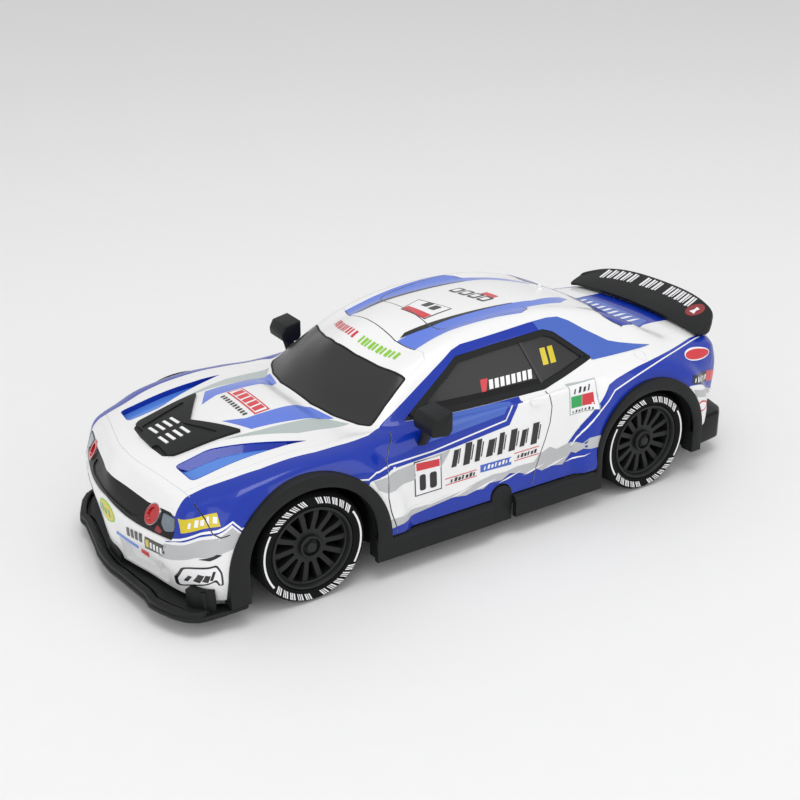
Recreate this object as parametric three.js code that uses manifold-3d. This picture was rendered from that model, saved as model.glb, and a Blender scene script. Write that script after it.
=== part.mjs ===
// A 1:16 four-wheel-drive remote control race car: a hard body shell with its windows, lamps and
// trim, which lifts off a flat chassis carrying the battery, motor, drive line and steering.
// Millimetres, +X towards the front, +Y to the car's left, +Z up, origin on the ground at mid wheelbase.
import * as THREE from 'three';
import { mergeVertices } from 'three/addons/utils/BufferGeometryUtils.js';
import Module from 'manifold-3d';

const wasm = await Module();
wasm.setup();

// ---- driving dimensions -------------------------------------------------------------------------
const AXLE_X = 87; // half the wheelbase
const TYRE_RADIUS = 24;
const TYRE_WIDTH = 21;
const AXLE_Z = TYRE_RADIUS;
const WHEEL_OUTER = 62.6; // outer face of a tyre, from the centre line
const WHEEL_INNER = WHEEL_OUTER - TYRE_WIDTH;
const RIM_RADIUS = 18;
const SPOKES = 14;
const KINGPIN_Y = 44;
const FLARE_OUTER = 64.7; // outer face of the arch flares and skirts
const FLARE_INNER = 57.6;
const ARCH_GAP = 28; // radius of the opening around each axle
const WALL = 1.2; // body shell
const GAP = 0.3; // between neighbours that touch
const PLATE_BOTTOM = 7.5;
const PLATE_TOP = 10;
const SHAFT_RADIUS = 2;
const BEVEL_TEETH = { ring: 20, pinion: 10 };
const SPUR_TEETH = { wheel: 32, pinion: 12 };
const GEAR_MODULE = 0.8;
const MOTOR = { radius: 13, rear: -63, front: -28, lean: 20 };
const RACK = { x: 66, bottom: 14.6, top: 17, pinY: 38, pinRadius: 1.2 };
const HORN = { y: -16, z: 32, length: 15 };
const BEAM = { front: 132, halfWidth: 32 }; // cross beam behind the nose
const DOOR = { rear: -46, front: 20, inner: 16, outer: 40.4, bottom: 5.4, top: 7.2 };

const COLOURS = {
  white: [0xeef1f4, 0.25, 0],
  blue: [0x2747ba, 0.3, 0],
  black: [0x17181a, 0.55, 0],
  glass: [0x24262a, 0.12, 0],
  grille: [0x2b2c2f, 0.4, 0],
  red: [0xb3202a, 0.3, 0],
  lamp: [0x9aa0a8, 0.2, 0.1],
  rubber: [0x141414, 0.85, 0],
  rim: [0x303236, 0.45, 0.2],
  steel: [0xa9adb2, 0.3, 1],
  brass: [0xb79a4e, 0.35, 1],
  gear: [0xe4dfd2, 0.5, 0],
  board: [0x1c6b3c, 0.5, 0],
  battery: [0x2d5fb5, 0.4, 0],
};

// ---- body lines: stations from nose to tail, each from the shoulder in to the centre line ---------
const LID = [
  [[135.6, 50.5, 47.6], [137.3, 44, 47], [138.9, 35, 46.6],
    [141.2, 24, 46.5], [143.8, 12, 46.9], [146.2, 0, 48]],
  [[133.6, 51.8, 49.4], [135.2, 45, 49.7], [136.8, 36, 50],
    [139, 25, 50.6], [141, 12.5, 51.3], [142.4, 0, 51.9]],
  [[129.5, 53, 51.2], [131.3, 46, 52.3], [133, 36.5, 53.6],
    [135, 25.5, 54.6], [136.6, 13, 55.2], [137, 0, 55.6]],
  [[119, 54.6, 54], [120, 47.5, 55.4], [121, 38, 56.4],
    [122, 27, 57.2], [123, 14, 58], [123.5, 0, 58.2]],
  [[104, 55.2, 57], [104, 48.5, 58.4], [104, 39, 59.4],
    [104, 28, 60.6], [104, 15, 61.9], [104, 0, 62.2]],
  [[87, 55.6, 58.6], [87, 49, 60], [87, 40, 60.6],
    [87, 29, 61.8], [87, 15.5, 63.7], [87, 0, 64.2]],
  [[70, 55.4, 58.2], [70, 49, 59.8], [70, 41, 60.2],
    [70, 29, 61.3], [71, 15.5, 63.9], [72, 0, 64.6]],
  [[46, 55.6, 58.4], [47.5, 49.6, 59.8], [51, 43.9, 60],
    [57.5, 27, 61.2], [60.6, 14, 62], [61.2, 0, 62.2]],
  [[31, 56.4, 59.2], [34, 51.2, 60.4], [39.4, 42.2, 67.3],
    [45.8, 26.2, 70.2], [49, 13.6, 71.6], [50.2, 0, 72.2]],
  [[17, 57, 59.6], [20, 52.6, 60.9], [27.6, 39.9, 74.9],
    [33.2, 25.4, 77.6], [37.2, 13.2, 79.6], [39.8, 0, 81]],
  [[3, 57.4, 59.8], [6, 53.4, 61.3], [11.5, 38.9, 81.6],
    [17.5, 25, 83], [23, 13, 85.2], [26.5, 0, 86.4]],
  [[-10, 57.8, 60], [-9, 53.9, 61.5], [-5, 37.7, 85.4],
    [0, 24.4, 87], [4, 12.6, 88.6], [5, 0, 89.2]],
  [[-27, 58.2, 60.1], [-27, 54.1, 61.8], [-26, 37.2, 86.7],
    [-25, 24, 88.5], [-25, 12.4, 89.7], [-25, 0, 90]],
  [[-42, 58.4, 60.2], [-43, 53.8, 62.6], [-50, 37.3, 85.6],
    [-50, 24, 87.2], [-50, 12.4, 88.3], [-50, 0, 88.6]],
  [[-61, 58.2, 60.4], [-64, 51.2, 66.6], [-73, 37.8, 81.2],
    [-72, 24.4, 82.6], [-72, 12.6, 83.5], [-72, 0, 83.7]],
  [[-84, 57.2, 60.4], [-88, 48.6, 67.4], [-94, 38.2, 73.4],
    [-93, 25, 74.6], [-93, 12.8, 75.3], [-93, 0, 75.5]],
  [[-108, 55.8, 59.8], [-110, 47.8, 62.9], [-112, 38.8, 64.2],
    [-109.5, 26, 65], [-108.5, 13, 65.4], [-108, 0, 65.5]],
  [[-122, 54.2, 59.2], [-122.5, 47, 61.8], [-123, 38.6, 63.1],
    [-123, 26, 63.9], [-123, 13, 64.3], [-123, 0, 64.4]],
  [[-133.5, 52, 58.6], [-135, 46, 60.8], [-136, 37.6, 62.2],
    [-137.5, 25.6, 63], [-138.6, 13, 63.5], [-139, 0, 63.6]],
  [[-138.5, 49.4, 57.4], [-140.6, 43.6, 58.9], [-142.4, 35.6, 59.9],
    [-144.6, 24.6, 60.6], [-146.2, 12.4, 61], [-147, 0, 61.2]],
];
// The wall below the shoulder: bottom edge, middle and upper crease, from the nose's centre line to
// its corner, along the side, and round the tail to the centre line again.
const WALL_NOSE = [
  [[147, 0, 12], [149, 0, 24], [149.2, 0, 36]],
  [[144.7, 12.4, 12], [147.2, 12.4, 24], [148.4, 12.4, 36]],
  [[141.3, 24.5, 12], [144.4, 24.6, 24], [146.6, 24.6, 36]],
  [[138.8, 35.5, 12], [141.8, 35.8, 24], [144, 35.6, 36]],
  [[135.8, 45.5, 12], [139, 45.6, 24], [141.3, 44.8, 36.4]],
  [[131.6, 53, 12], [134.8, 52.6, 24], [137.4, 51.8, 36.4]],
  [[127.7, 57.4, 12], [130.4, 56.6, 24], [133, 55.2, 38]],
  [[122.5, 60.2, 12.5], [124.5, 59.6, 25], [127.4, 57.6, 40]],
  [[116, 61.4, 16], [117, 60.8, 28], [118, 59.2, 44]],
];
const WALL_SIDE_STATIONS = [104, 87, 70, 46, 31, 17, 3, -10, -27, -42, -60, -84, -108];
const WALL_TAIL = [
  [[-119.5, 59.8, 22.8], [-121, 59, 33], [-122, 57.6, 48]],
  [[-128.5, 55.2, 23], [-131.5, 55.2, 34], [-133.8, 54, 48]],
  [[-132.5, 51.4, 23], [-136.4, 51.6, 34], [-139, 50.8, 48]],
  [[-136.4, 44.5, 23], [-140, 45, 34], [-142.4, 44.6, 48]],
  [[-138.8, 36, 23], [-142.2, 36, 34], [-144.6, 36, 48]],
  [[-141, 24.8, 23], [-144.4, 24.8, 34], [-146.8, 24.8, 48]],
  [[-142.4, 12.5, 23], [-145.8, 12.5, 34], [-148.2, 12.5, 48]],
  [[-143, 0, 23], [-146.4, 0, 34], [-148.8, 0, 48]],
];
const ARCHES = [
  { x: 87.8, z: 20.2, radius: 36.3 },
  { x: -88.2, z: 23, radius: 32.2 },
];
const ARCH_BULGE = { width: 13, height: 3.3 };
const ROW_STEPS = 2; // surface samples between stations along the car
const COLUMN_STEPS = 1; // and across it
const WALL_STEPS = 1;

// ---- outlines cut in the body ---------------------------------------------------------------------
const WINDSCREEN = [[60.6, 0], [60.4, 14], [57.3, 27], [51.2, 42.6], [50, 44.6], [28.6, 39.2], [33.6, 25.4],
  [37.4, 13.2], [39.6, 0]];
const SIDE_WINDOW = [[36.5, 61.4], [24, 69], [5, 80.2], [-8, 82.6], [-35, 82.4], [-44, 80], [-61, 67.6],
  [-43, 62.8], [-33, 61.6]];
const GRILLE = [[0, 38], [39.5, 37.4], [39.5, 46.2], [24, 45.8], [12, 46.4], [0, 47.2]];
const HEADLAMP = [[40.3, 38], [48.8, 38.4], [48.6, 46], [40.3, 46.2]];
const TAIL_LIGHTS = [[0, 46], [45, 46], [43, 54.5], [0, 55.5]];
const SCOOP = [[127.5, 0], [128, 15.4], [121, 18.4], [97, 22.4], [112, 7], [112, 0]];
const SCOOP_LIFT = { bottom: GAP, top: 1.8 };
const SILL_NOTCH = { rear: -10.9, front: 0.7, top: 25.4 };
const RING_LAMP = { y: 34, z: 41.9, outer: 3.7, inner: 2.4 };

// ---- solids ---------------------------------------------------------------------------------------
function toSolid(geometry) {
  const bare = geometry.clone();
  bare.deleteAttribute('normal');
  bare.deleteAttribute('uv');
  const merged = mergeVertices(bare, 1e-3);
  return new wasm.Manifold(new wasm.Mesh({
    numProp: 3,
    vertProperties: Float32Array.from(merged.attributes.position.array),
    triVerts: Uint32Array.from(merged.index.array),
  }));
}

function toGeometry(solid) {
  const { vertProperties, triVerts } = solid.getMesh();
  const geometry = new THREE.BufferGeometry();
  geometry.setAttribute('position', new THREE.BufferAttribute(vertProperties, 3));
  geometry.setIndex(new THREE.BufferAttribute(triVerts, 1));
  geometry.computeVertexNormals();
  return geometry;
}

const union = (first, ...others) => others.reduce((sum, next) => sum.add(next), first);
const cut = (solid, ...tools) => tools.reduce((rest, tool) => rest.subtract(tool), solid);

function box(x0, x1, y0, y1, z0, z1) {
  const geometry = new THREE.BoxGeometry(x1 - x0, y1 - y0, z1 - z0);
  return toSolid(geometry.translate((x0 + x1) / 2, (y0 + y1) / 2, (z0 + z1) / 2));
}

// A rod along one axis; centre holds its other two coordinates in x, y, z order.
function rod(axis, radius, from, to, centre, sides = 16) {
  const geometry = new THREE.CylinderGeometry(radius, radius, to - from, sides);
  const middle = (from + to) / 2;
  if (axis === 'x') geometry.rotateZ(-Math.PI / 2).translate(middle, centre[0], centre[1]);
  if (axis === 'y') geometry.translate(centre[0], middle, centre[1]);
  if (axis === 'z') geometry.rotateX(Math.PI / 2).translate(centre[0], centre[1], middle);
  return toSolid(geometry);
}

// An outline drawn across one axis and pushed along it: plan (z), side (y) or front (x).
function prism(axis, outline, from, to, holes = []) {
  const toPoints = (list) => list.map(([a, b]) => new THREE.Vector2(a, b));
  const shape = new THREE.Shape(toPoints(outline));
  holes.forEach((hole) => shape.holes.push(new THREE.Path(toPoints(hole))));
  const geometry = new THREE.ExtrudeGeometry(shape, { depth: to - from, bevelEnabled: false });
  const x = new THREE.Vector3(1, 0, 0);
  const y = new THREE.Vector3(0, 1, 0);
  const z = new THREE.Vector3(0, 0, 1);
  if (axis === 'x') {
    geometry.applyMatrix4(new THREE.Matrix4().makeBasis(y, z, x));
    return toSolid(geometry.translate(from, 0, 0));
  }
  if (axis === 'y') {
    geometry.applyMatrix4(new THREE.Matrix4().makeBasis(x, z, y.negate()));
    return toSolid(geometry.translate(0, to, 0));
  }
  return toSolid(geometry.translate(0, 0, from));
}

// A ring or disc turned about an axle; the profile lists [radius, distance out from y = 0].
function turned(profile, centre, side, sides = 40) {
  const points = profile.map(([radius, out]) => new THREE.Vector2(radius, out));
  points.push(points[0].clone());
  const geometry = new THREE.LatheGeometry(points, sides);
  if (side < 0) geometry.rotateX(Math.PI);
  return toSolid(geometry.translate(centre[0], 0, centre[1]));
}

function mirrored(solid) {
  return solid.mirror([0, 1, 0]);
}

const bothSides = (outline) => [...outline, ...outline.map(([a, b]) => [-a, b]).reverse()];
const wholePlan = (outline) => [...outline, ...outline.map(([x, y]) => [x, -y]).reverse()];

function circle(x, y, radius, sides = 20) {
  return Array.from({ length: sides }, (_, k) => {
    const angle = (2 * Math.PI * k) / sides;
    return [x + radius * Math.cos(angle), y + radius * Math.sin(angle)];
  });
}

// ---- body surface ---------------------------------------------------------------------------------
// A smooth line through the points; stepsOf gives the samples in each stretch between two of them.
function sample(points, stepsOf, mirrorStart = false, mirrorEnd = false) {
  const flip = ([x, y, z]) => [x, -y, z];
  const beyond = (end, next) => end.map((value, axis) => 2 * value - next[axis]);
  const last = points.length - 1;
  const before = mirrorStart ? flip(points[1]) : beyond(points[0], points[1]);
  const after = mirrorEnd ? flip(points[last - 1]) : beyond(points[last], points[last - 1]);
  const all = [before, ...points, after];
  const result = [];
  for (let k = 0; k < last; k += 1) {
    const steps = stepsOf(k);
    for (let step = 0; step < steps; step += 1) result.push(between(all.slice(k, k + 4), step / steps));
  }
  result.push(points[last]);
  return result;
}

function between([p0, p1, p2, p3], t) {
  return p1.map((value, i) => 0.5 * (2 * value + (p2[i] - p0[i]) * t
    + (2 * p0[i] - 5 * value + 4 * p2[i] - p3[i]) * t * t
    + (3 * value - p0[i] - 3 * p2[i] + p3[i]) * t * t * t));
}

const transpose = (grid) => grid[0].map((_, column) => grid.map((row) => row[column]));

function lidGrid() {
  const columns = transpose(LID).map((line) => sample(line, () => ROW_STEPS));
  return transpose(columns).map((row) => sample(row, () => COLUMN_STEPS, false, true));
}

function wallStations() {
  const side = WALL_SIDE_STATIONS.map((x) => {
    const nearTail = Math.max(0, -x - 60) / 48;
    return [[x, 61.5, 19.5 + 2.5 * nearTail], [x, 60.2 + 0.6 * nearTail, 31], [x, 59.4, 48]];
  });
  return [...WALL_NOSE, ...side, ...WALL_TAIL];
}

function wallGrid(lid) {
  const last = lid.length - 1;
  const top = [...lid[0].slice().reverse(), ...lid.slice(1).map((row) => row[0]), ...lid[last].slice(1)];
  const stations = wallStations();
  const corner = LID[0].length - 1;
  const onSide = (k) => k >= corner && k < stations.length - 1 - corner;
  const stepsOf = (k) => (onSide(k) ? ROW_STEPS : COLUMN_STEPS);
  const lines = transpose(stations).map((line) => sample(line, stepsOf, true, true));
  return top.map((point, k) => sample([lines[0][k], lines[1][k], lines[2][k], point], () => WALL_STEPS));
}

// Pushes the wall out around the wheels, so that the fenders swell towards the flares.
function bulge([x, y, z]) {
  if (y < 40) return [x, y, z];
  const push = ARCHES.map((arch) => {
    const distance = Math.hypot(x - arch.x, z - arch.z);
    const t = THREE.MathUtils.clamp((arch.radius + ARCH_BULGE.width - distance) / ARCH_BULGE.width, 0, 1);
    const fade = THREE.MathUtils.clamp((z - 12) / 10, 0, 1);
    return ARCH_BULGE.height * t * t * (3 - 2 * t) * fade;
  });
  return [x, y + Math.max(...push), z];
}

function gridTriangles(grid) {
  const triangles = [];
  for (let r = 0; r + 1 < grid.length; r += 1) {
    for (let c = 0; c + 1 < grid[r].length; c += 1) {
      const [p, q, s, t] = [grid[r][c], grid[r + 1][c], grid[r + 1][c + 1], grid[r][c + 1]];
      triangles.push([p, q, s], [p, s, t]);
    }
  }
  return triangles;
}

const LID_GRID = lidGrid();
const WALL_GRID = wallGrid(LID_GRID).map((row) => row.map(bulge));
const LID_SURFACE = LID_GRID.map((row) => row.map(bulge));

function skinGeometry() {
  const half = [...gridTriangles(LID_SURFACE), ...gridTriangles(WALL_GRID)];
  const otherHalf = half.map(([p, q, s]) => [p, s, q].map(([x, y, z]) => [x, -y, z]));
  const positions = Float32Array.from([...half, ...otherHalf].flat(2));
  const soup = new THREE.BufferGeometry();
  soup.setAttribute('position', new THREE.BufferAttribute(positions, 3));
  const skin = mergeVertices(soup, 1e-3);
  skin.computeVertexNormals();
  return skin;
}

const SKIN = skinGeometry();

// The closed layer between two depths of the body surface, measured outwards.
function layer(high, low) {
  const { position, normal } = SKIN.attributes;
  const index = Array.from(SKIN.index.array);
  const count = position.count;
  const vertices = [];
  [high, low].forEach((depth) => {
    for (let k = 0; k < count; k += 1) {
      vertices.push(position.getX(k) + depth * normal.getX(k));
      vertices.push(position.getY(k) + depth * normal.getY(k));
      vertices.push(position.getZ(k) + depth * normal.getZ(k));
    }
  });
  const triangles = [...index];
  for (let k = 0; k < index.length; k += 3) {
    triangles.push(index[k] + count, index[k + 2] + count, index[k + 1] + count);
  }
  rimEdges(index).forEach(([a, b]) => triangles.push(b, a, a + count, b, a + count, b + count));
  const geometry = new THREE.BufferGeometry();
  geometry.setAttribute('position', new THREE.BufferAttribute(Float32Array.from(vertices), 3));
  geometry.setIndex(triangles);
  return toSolid(geometry);
}

function rimEdges(index) {
  const edges = new Map();
  for (let k = 0; k < index.length; k += 3) {
    for (let side = 0; side < 3; side += 1) {
      const a = index[k + side];
      const b = index[k + ((side + 1) % 3)];
      if (edges.has(`${b} ${a}`)) edges.delete(`${b} ${a}`);
      else edges.set(`${a} ${b}`, [a, b]);
    }
  }
  return [...edges.values()];
}

// Height of the bare lid under a point of the plan, from the nearest grid cell's triangles.
function lidHeight(x, y) {
  const down = new THREE.Vector3(0, 0, -1);
  const ray = new THREE.Ray(new THREE.Vector3(x, Math.abs(y), 200), down);
  const hit = new THREE.Vector3();
  const corners = (list) => list.map((point) => new THREE.Vector3(...point));
  const crosses = (list) => ray.intersectTriangle(...corners(list), false, hit);
  return gridTriangles(LID_SURFACE).some(crosses) ? hit.z : 0;
}

// ---- the scene graph ------------------------------------------------------------------------------
const car = new THREE.Group();
const shellGroup = new THREE.Group();
const chassisGroup = new THREE.Group();
car.add(shellGroup, chassisGroup);

function add(group, name, colour, solid) {
  const [color, roughness, metalness] = COLOURS[colour];
  const material = new THREE.MeshStandardMaterial({ color, roughness, metalness });
  const mesh = new THREE.Mesh(toGeometry(solid), material);
  mesh.name = name;
  group.add(mesh);
}

// The left piece and its mirror image on the right.
function addPair(group, name, colour, solid) {
  add(group, `${name}_left`, colour, solid);
  add(group, `${name}_right`, colour, mirrored(solid));
}

// ---- body shell -----------------------------------------------------------------------------------
const NOSE = [100, 160];
const TAIL = [-160, -100];

// An outline grown or shrunk about its own middle by the gap that neighbours keep.
function shrink(outline, amount) {
  const cx = outline.reduce((sum, [a]) => sum + a, 0) / outline.length;
  const cy = outline.reduce((sum, [, b]) => sum + b, 0) / outline.length;
  return outline.map(([a, b]) => {
    const reach = Math.hypot(a - cx, b - cy);
    return [cx + (a - cx) * (1 - amount / reach), cy + (b - cy) * (1 - amount / reach)];
  });
}

const openings = {
  windscreen: (d) => prism('z', shrink(wholePlan(WINDSCREEN), d), 50, 95),
  sideWindow: (d) => prism('y', shrink(SIDE_WINDOW, d), 30, 70),
  grille: (d) => prism('x', shrink(bothSides(GRILLE), d), ...NOSE),
  headlamp: (d) => prism('x', shrink(HEADLAMP, d), ...NOSE),
  tailLights: (d) => prism('x', shrink(bothSides(TAIL_LIGHTS), d), ...TAIL),
};

function archTool({ x, z, radius }) {
  const round = rod('y', radius - 3, 40, 75, [x, z], 30);
  return union(round, box(x - radius + 3, x + radius - 3, 40, 75, 0, z));
}

function sillNotch() {
  const { rear, front, top } = SILL_NOTCH;
  const radius = (front - rear) / 2;
  const round = rod('y', radius, 50, 75, [(front + rear) / 2, top - radius], 20);
  return union(round, box(rear, front, 50, 75, 0, top - radius));
}

function bodyShell() {
  const oneSide = [openings.sideWindow(0), openings.headlamp(0), sillNotch(), ...ARCHES.map(archTool)];
  const tools = [...oneSide, ...oneSide.map(mirrored), openings.windscreen(0), openings.grille(0),
    openings.tailLights(0)];
  return cut(layer(0, -WALL), ...tools);
}

add(shellGroup, 'body_shell', 'white', bodyShell());
add(shellGroup, 'windscreen', 'glass', layer(-0.1, -WALL).intersect(openings.windscreen(GAP)));
addPair(shellGroup, 'side_window', 'glass', layer(-0.1, -WALL).intersect(openings.sideWindow(GAP)));
addPair(shellGroup, 'headlight', 'lamp', layer(-0.1, -1.6).intersect(openings.headlamp(GAP)));
add(shellGroup, 'tail_light_panel', 'red', layer(-0.2, -1.6).intersect(openings.tailLights(GAP)));

// ---- grille with its ring lamps -------------------------------------------------------------------
const lampHole = rod('x', RING_LAMP.outer + GAP, ...NOSE, [RING_LAMP.y, RING_LAMP.z], 16);
const grillePanel = layer(-0.5, -1.8).intersect(openings.grille(GAP));
add(shellGroup, 'grille_panel', 'grille', cut(grillePanel, lampHole, mirrored(lampHole)));

function ringLamp() {
  const disc = rod('x', RING_LAMP.outer, 138.8, 142.8, [RING_LAMP.y, RING_LAMP.z], 16);
  const dish = rod('x', RING_LAMP.inner, 141.4, 145, [RING_LAMP.y, RING_LAMP.z], 16);
  return cut(disc, dish);
}
addPair(shellGroup, 'ring_lamp', 'red', ringLamp());

// ---- bonnet scoop, wing and mirrors ---------------------------------------------------------------
const scoop = layer(SCOOP_LIFT.top, SCOOP_LIFT.bottom).intersect(prism('z', wholePlan(SCOOP), 40, 90));
add(shellGroup, 'hood_scoop', 'black', scoop);

// A solid through rings of points, all with the same count, closed by flat ends.
function loft(rings) {
  const count = rings[0].length;
  const triangles = [];
  for (let r = 0; r + 1 < rings.length; r += 1) {
    for (let k = 0; k < count; k += 1) {
      const next = (k + 1) % count;
      triangles.push([rings[r][k], rings[r][next], rings[r + 1][next]]);
      triangles.push([rings[r][k], rings[r + 1][next], rings[r + 1][k]]);
    }
  }
  const end = rings[rings.length - 1];
  for (let k = 1; k + 1 < count; k += 1) {
    triangles.push([rings[0][0], rings[0][k + 1], rings[0][k]]);
    triangles.push([end[0], end[k], end[k + 1]]);
  }
  const geometry = new THREE.BufferGeometry();
  geometry.setAttribute('position', new THREE.BufferAttribute(Float32Array.from(triangles.flat(2)), 3));
  return toSolid(geometry);
}

const WING = { halfSpan: 47.4, stations: 12, clear: 1.2, lip: 73 };
function wingSection(y) {
  const across = Math.abs(y) / WING.halfSpan;
  const front = -129.5 - 1.5 * (1 - across);
  const rear = -152.4 + 8.6 * across ** 2.2 + 3 * Math.max(0, across - 0.8) / 0.2;
  const lip = WING.lip - 5.2 * across ** 4;
  const under = (x) => lidHeight(Math.max(x, -146 + 8 * across ** 2), y) + WING.clear;
  const middle = (front + rear) / 2;
  return [
    [front, y, under(front)], [middle, y, under(middle)], [rear + 2.4, y, under(rear) + 1.2],
    [rear, y, lip - 2.6], [rear + 0.6, y, lip], [middle, y, under(middle) + 4.4],
    [front, y, under(front) + 1.7],
  ];
}

function wing() {
  const steps = Array.from({ length: WING.stations + 1 }, (_, k) => (2 * k) / WING.stations - 1);
  return loft(steps.map((t) => wingSection(WING.halfSpan * t)));
}
add(shellGroup, 'spoiler', 'black', wing());

// Head of a door mirror: a boxy shape that narrows outwards; its foot stands on the door top.
function mirror() {
  const head = (y, scale) => [[27.4, 71.2], [35.4, 69.2], [37.4, 66], [37, 62.2], [29, 61.2], [27.2, 63]]
    .map(([x, z]) => [32 + (x - 32) * scale, y, 66.4 + (z - 66.4) * scale]);
  const foot = (y, z, size) => [[-size, -1.3], [-size, 1.3], [size, 1.3], [size, -1.3]]
    .map(([a, b]) => [34 + a, y, z + b]);
  const rings = [head(57.6, 0.82), head(59.4, 1), head(70.6, 1), head(72.3, 0.8)];
  return union(loft(rings), loft([foot(56.6, 61.4, 3.4), foot(58.4, 63.2, 3)]));
}
addPair(shellGroup, 'mirror', 'black', mirror());

// ---- splitter, diffuser, flares and skirts --------------------------------------------------------
const SPLITTER = { bottom: 6.8, lip: 9.6, top: 11.4 };
const SPLITTER_EDGE = [[153, 0], [152.7, 8], [151.4, 15], [150, 25], [148.6, 35], [149, 40.8], [147, 47],
  [144, 54], [140.5, 59], [136.5, 61.8]];
const SPLITTER_INNER = [[131.2, 58], [132.6, 54], [133.2, 50], [136.6, 35], [139, 24.5], [141.4, 12],
  [143, 0]];

function splitter() {
  const inset = ([x, y]) => [x - 4.5, y * 0.97];
  const roundBeam = [[127, BEAM.halfWidth + 3], [BEAM.front + 1, BEAM.halfWidth + 1.4], [BEAM.front + 1, 0]];
  const lipPlan = [...SPLITTER_EDGE, [130, 62.4], [124.4, 62.4], [124.4, 60.4], [128, 54], ...roundBeam];
  const lip = prism('z', wholePlan(lipPlan), SPLITTER.bottom, SPLITTER.lip);
  const upperPlan = [...SPLITTER_EDGE.map(inset), ...SPLITTER_INNER];
  return union(lip, prism('z', wholePlan(upperPlan), SPLITTER.bottom + 1, SPLITTER.top));
}
add(shellGroup, 'front_splitter', 'black', splitter());

const DIFFUSER_PLAN = [[-153, 0], [-152.4, 20], [-150.6, 38], [-147.6, 49], [-143, 53.4], [-128, 55.4],
  [-126.4, 52], [-130, 30], [-130, 0]];
function diffuser() {
  const body = prism('z', wholePlan(DIFFUSER_PLAN), 8, 22.6);
  const undercut = prism('y', [[-160, 0], [-146, 7], [-128, 20], [-120, 20], [-120, 0]], -46, 46);
  const slots = [-31, -15.5, 0, 15.5, 31].map((y) => box(-160, -144.6, y - 5.4, y + 5.4, 0, 18.6));
  return cut(body, undercut, ...slots);
}
add(shellGroup, 'rear_diffuser', 'black', diffuser());

// The ring of one flare, from the wheel opening out to the body, between two fore-and-aft limits.
function flareRing(arch, wheelX, bottom, from, to) {
  const outer = rod('y', arch.radius, FLARE_INNER, FLARE_OUTER, [arch.x, arch.z], 30);
  const legs = box(arch.x - arch.radius, arch.x + arch.radius, FLARE_INNER, FLARE_OUTER, bottom, arch.z);
  const opening = rod('y', ARCH_GAP, 50, 70, [wheelX, AXLE_Z], 26);
  const below = box(wheelX - ARCH_GAP, wheelX + ARCH_GAP, 50, 70, 0, AXLE_Z);
  const lens = cut(union(outer, legs), opening, below);
  return lens.intersect(box(from, to, 50, 80, bottom, 60));
}

const wallSpace = layer(GAP, -WALL - GAP);
const bodyCore = union(wallSpace, wallSpace.translate([0, 0, -GAP]));
const SKIRT = { top: 19.2, bottom: 9, thick: 2.6 };
const skirtSection = [[FLARE_OUTER - SKIRT.thick, SKIRT.bottom], [FLARE_OUTER, SKIRT.bottom],
  [FLARE_OUTER, SKIRT.top - 2.4], [FLARE_OUTER - SKIRT.thick, SKIRT.top]];

function frontSkirt() {
  const flare = flareRing(ARCHES[0], AXLE_X, 10, 51.6, 126);
  const rail = prism('x', skirtSection, SILL_NOTCH.front, AXLE_X - ARCH_GAP);
  return cut(union(flare, rail), bodyCore);
}

function rearSkirt() {
  const flare = flareRing(ARCHES[1], -AXLE_X, 12, -121, -56);
  const tailEnd = prism('y', [[-114.6, 15], [-114.6, 30], [-120.4, 24], [-121.6, 15]], 60, FLARE_OUTER);
  const rail = prism('x', skirtSection, -AXLE_X + ARCH_GAP, SILL_NOTCH.rear);
  return cut(union(flare, tailEnd, rail), bodyCore);
}
addPair(shellGroup, 'front_skirt', 'black', frontSkirt());
addPair(shellGroup, 'rear_skirt', 'black', rearSkirt());

// ---- chassis --------------------------------------------------------------------------------------
const PLATE_PLAN = [[120, 0], [120, 24], [62, 26], [52, 46], [46, 50], [-48, 50], [-56, 36], [-118, 36],
  [-124, 28], [-124, 0]];
const BAY = { rear: -44, front: 18, inner: 16.6, outer: 39.8, wallTop: 20 };
const SWITCH = { x: 31, y: 23.5, slotLength: 10, slotWidth: 5 };
const GEARBOX = { halfLength: 16, halfWidth: 13, top: 38, wall: 2 };

const rectangle = (x0, x1, y0, y1) => [[x0, y0], [x1, y0], [x1, y1], [x0, y1]];

function chassisPlate() {
  const bayHole = rectangle(BAY.rear, BAY.front, BAY.inner, BAY.outer);
  const slot = rectangle(SWITCH.x - SWITCH.slotLength / 2, SWITCH.x + SWITCH.slotLength / 2,
    SWITCH.y - SWITCH.slotWidth / 2, SWITCH.y + SWITCH.slotWidth / 2);
  const plate = prism('z', wholePlan(PLATE_PLAN), PLATE_BOTTOM, PLATE_TOP, [bayHole, slot]);
  const sill = box(-46, 44, 47.6, 50, PLATE_TOP - 1, 15.5);
  const tray = prism('z', rectangle(BAY.rear - 1.6, BAY.front + 1.6, BAY.inner - 1.6, BAY.outer + 1.6),
    PLATE_TOP - 1, BAY.wallTop, [bayHole]);
  const runner = (y) => box(DOOR.rear - 3, DOOR.front + 3, y, y + 1.8, DOOR.bottom + 0.4, PLATE_BOTTOM + 1);
  const { front, halfWidth } = BEAM;
  const stem = box(112, 120, -20, 20, PLATE_TOP - 1, 22);
  const beam = union(box(front - 18, front, -halfWidth, halfWidth, 12.5, 22), stem);
  const guides = [-27, 24].map((y) => box(63.5, 68.5, y, y + 3, PLATE_TOP - 1, RACK.bottom - GAP));
  const bearings = [36, -16].map((x) => cut(box(x, x + 3, -5, 5, PLATE_TOP - 1, 30),
    rod('x', SHAFT_RADIUS + GAP, x - 1, x + 4, [0, AXLE_Z])));
  return union(plate, sill, mirrored(sill), tray, runner(DOOR.inner - 2.2), runner(DOOR.outer + 0.4), beam,
    ...guides, ...bearings);
}
add(chassisGroup, 'chassis_plate', 'black', chassisPlate());

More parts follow.
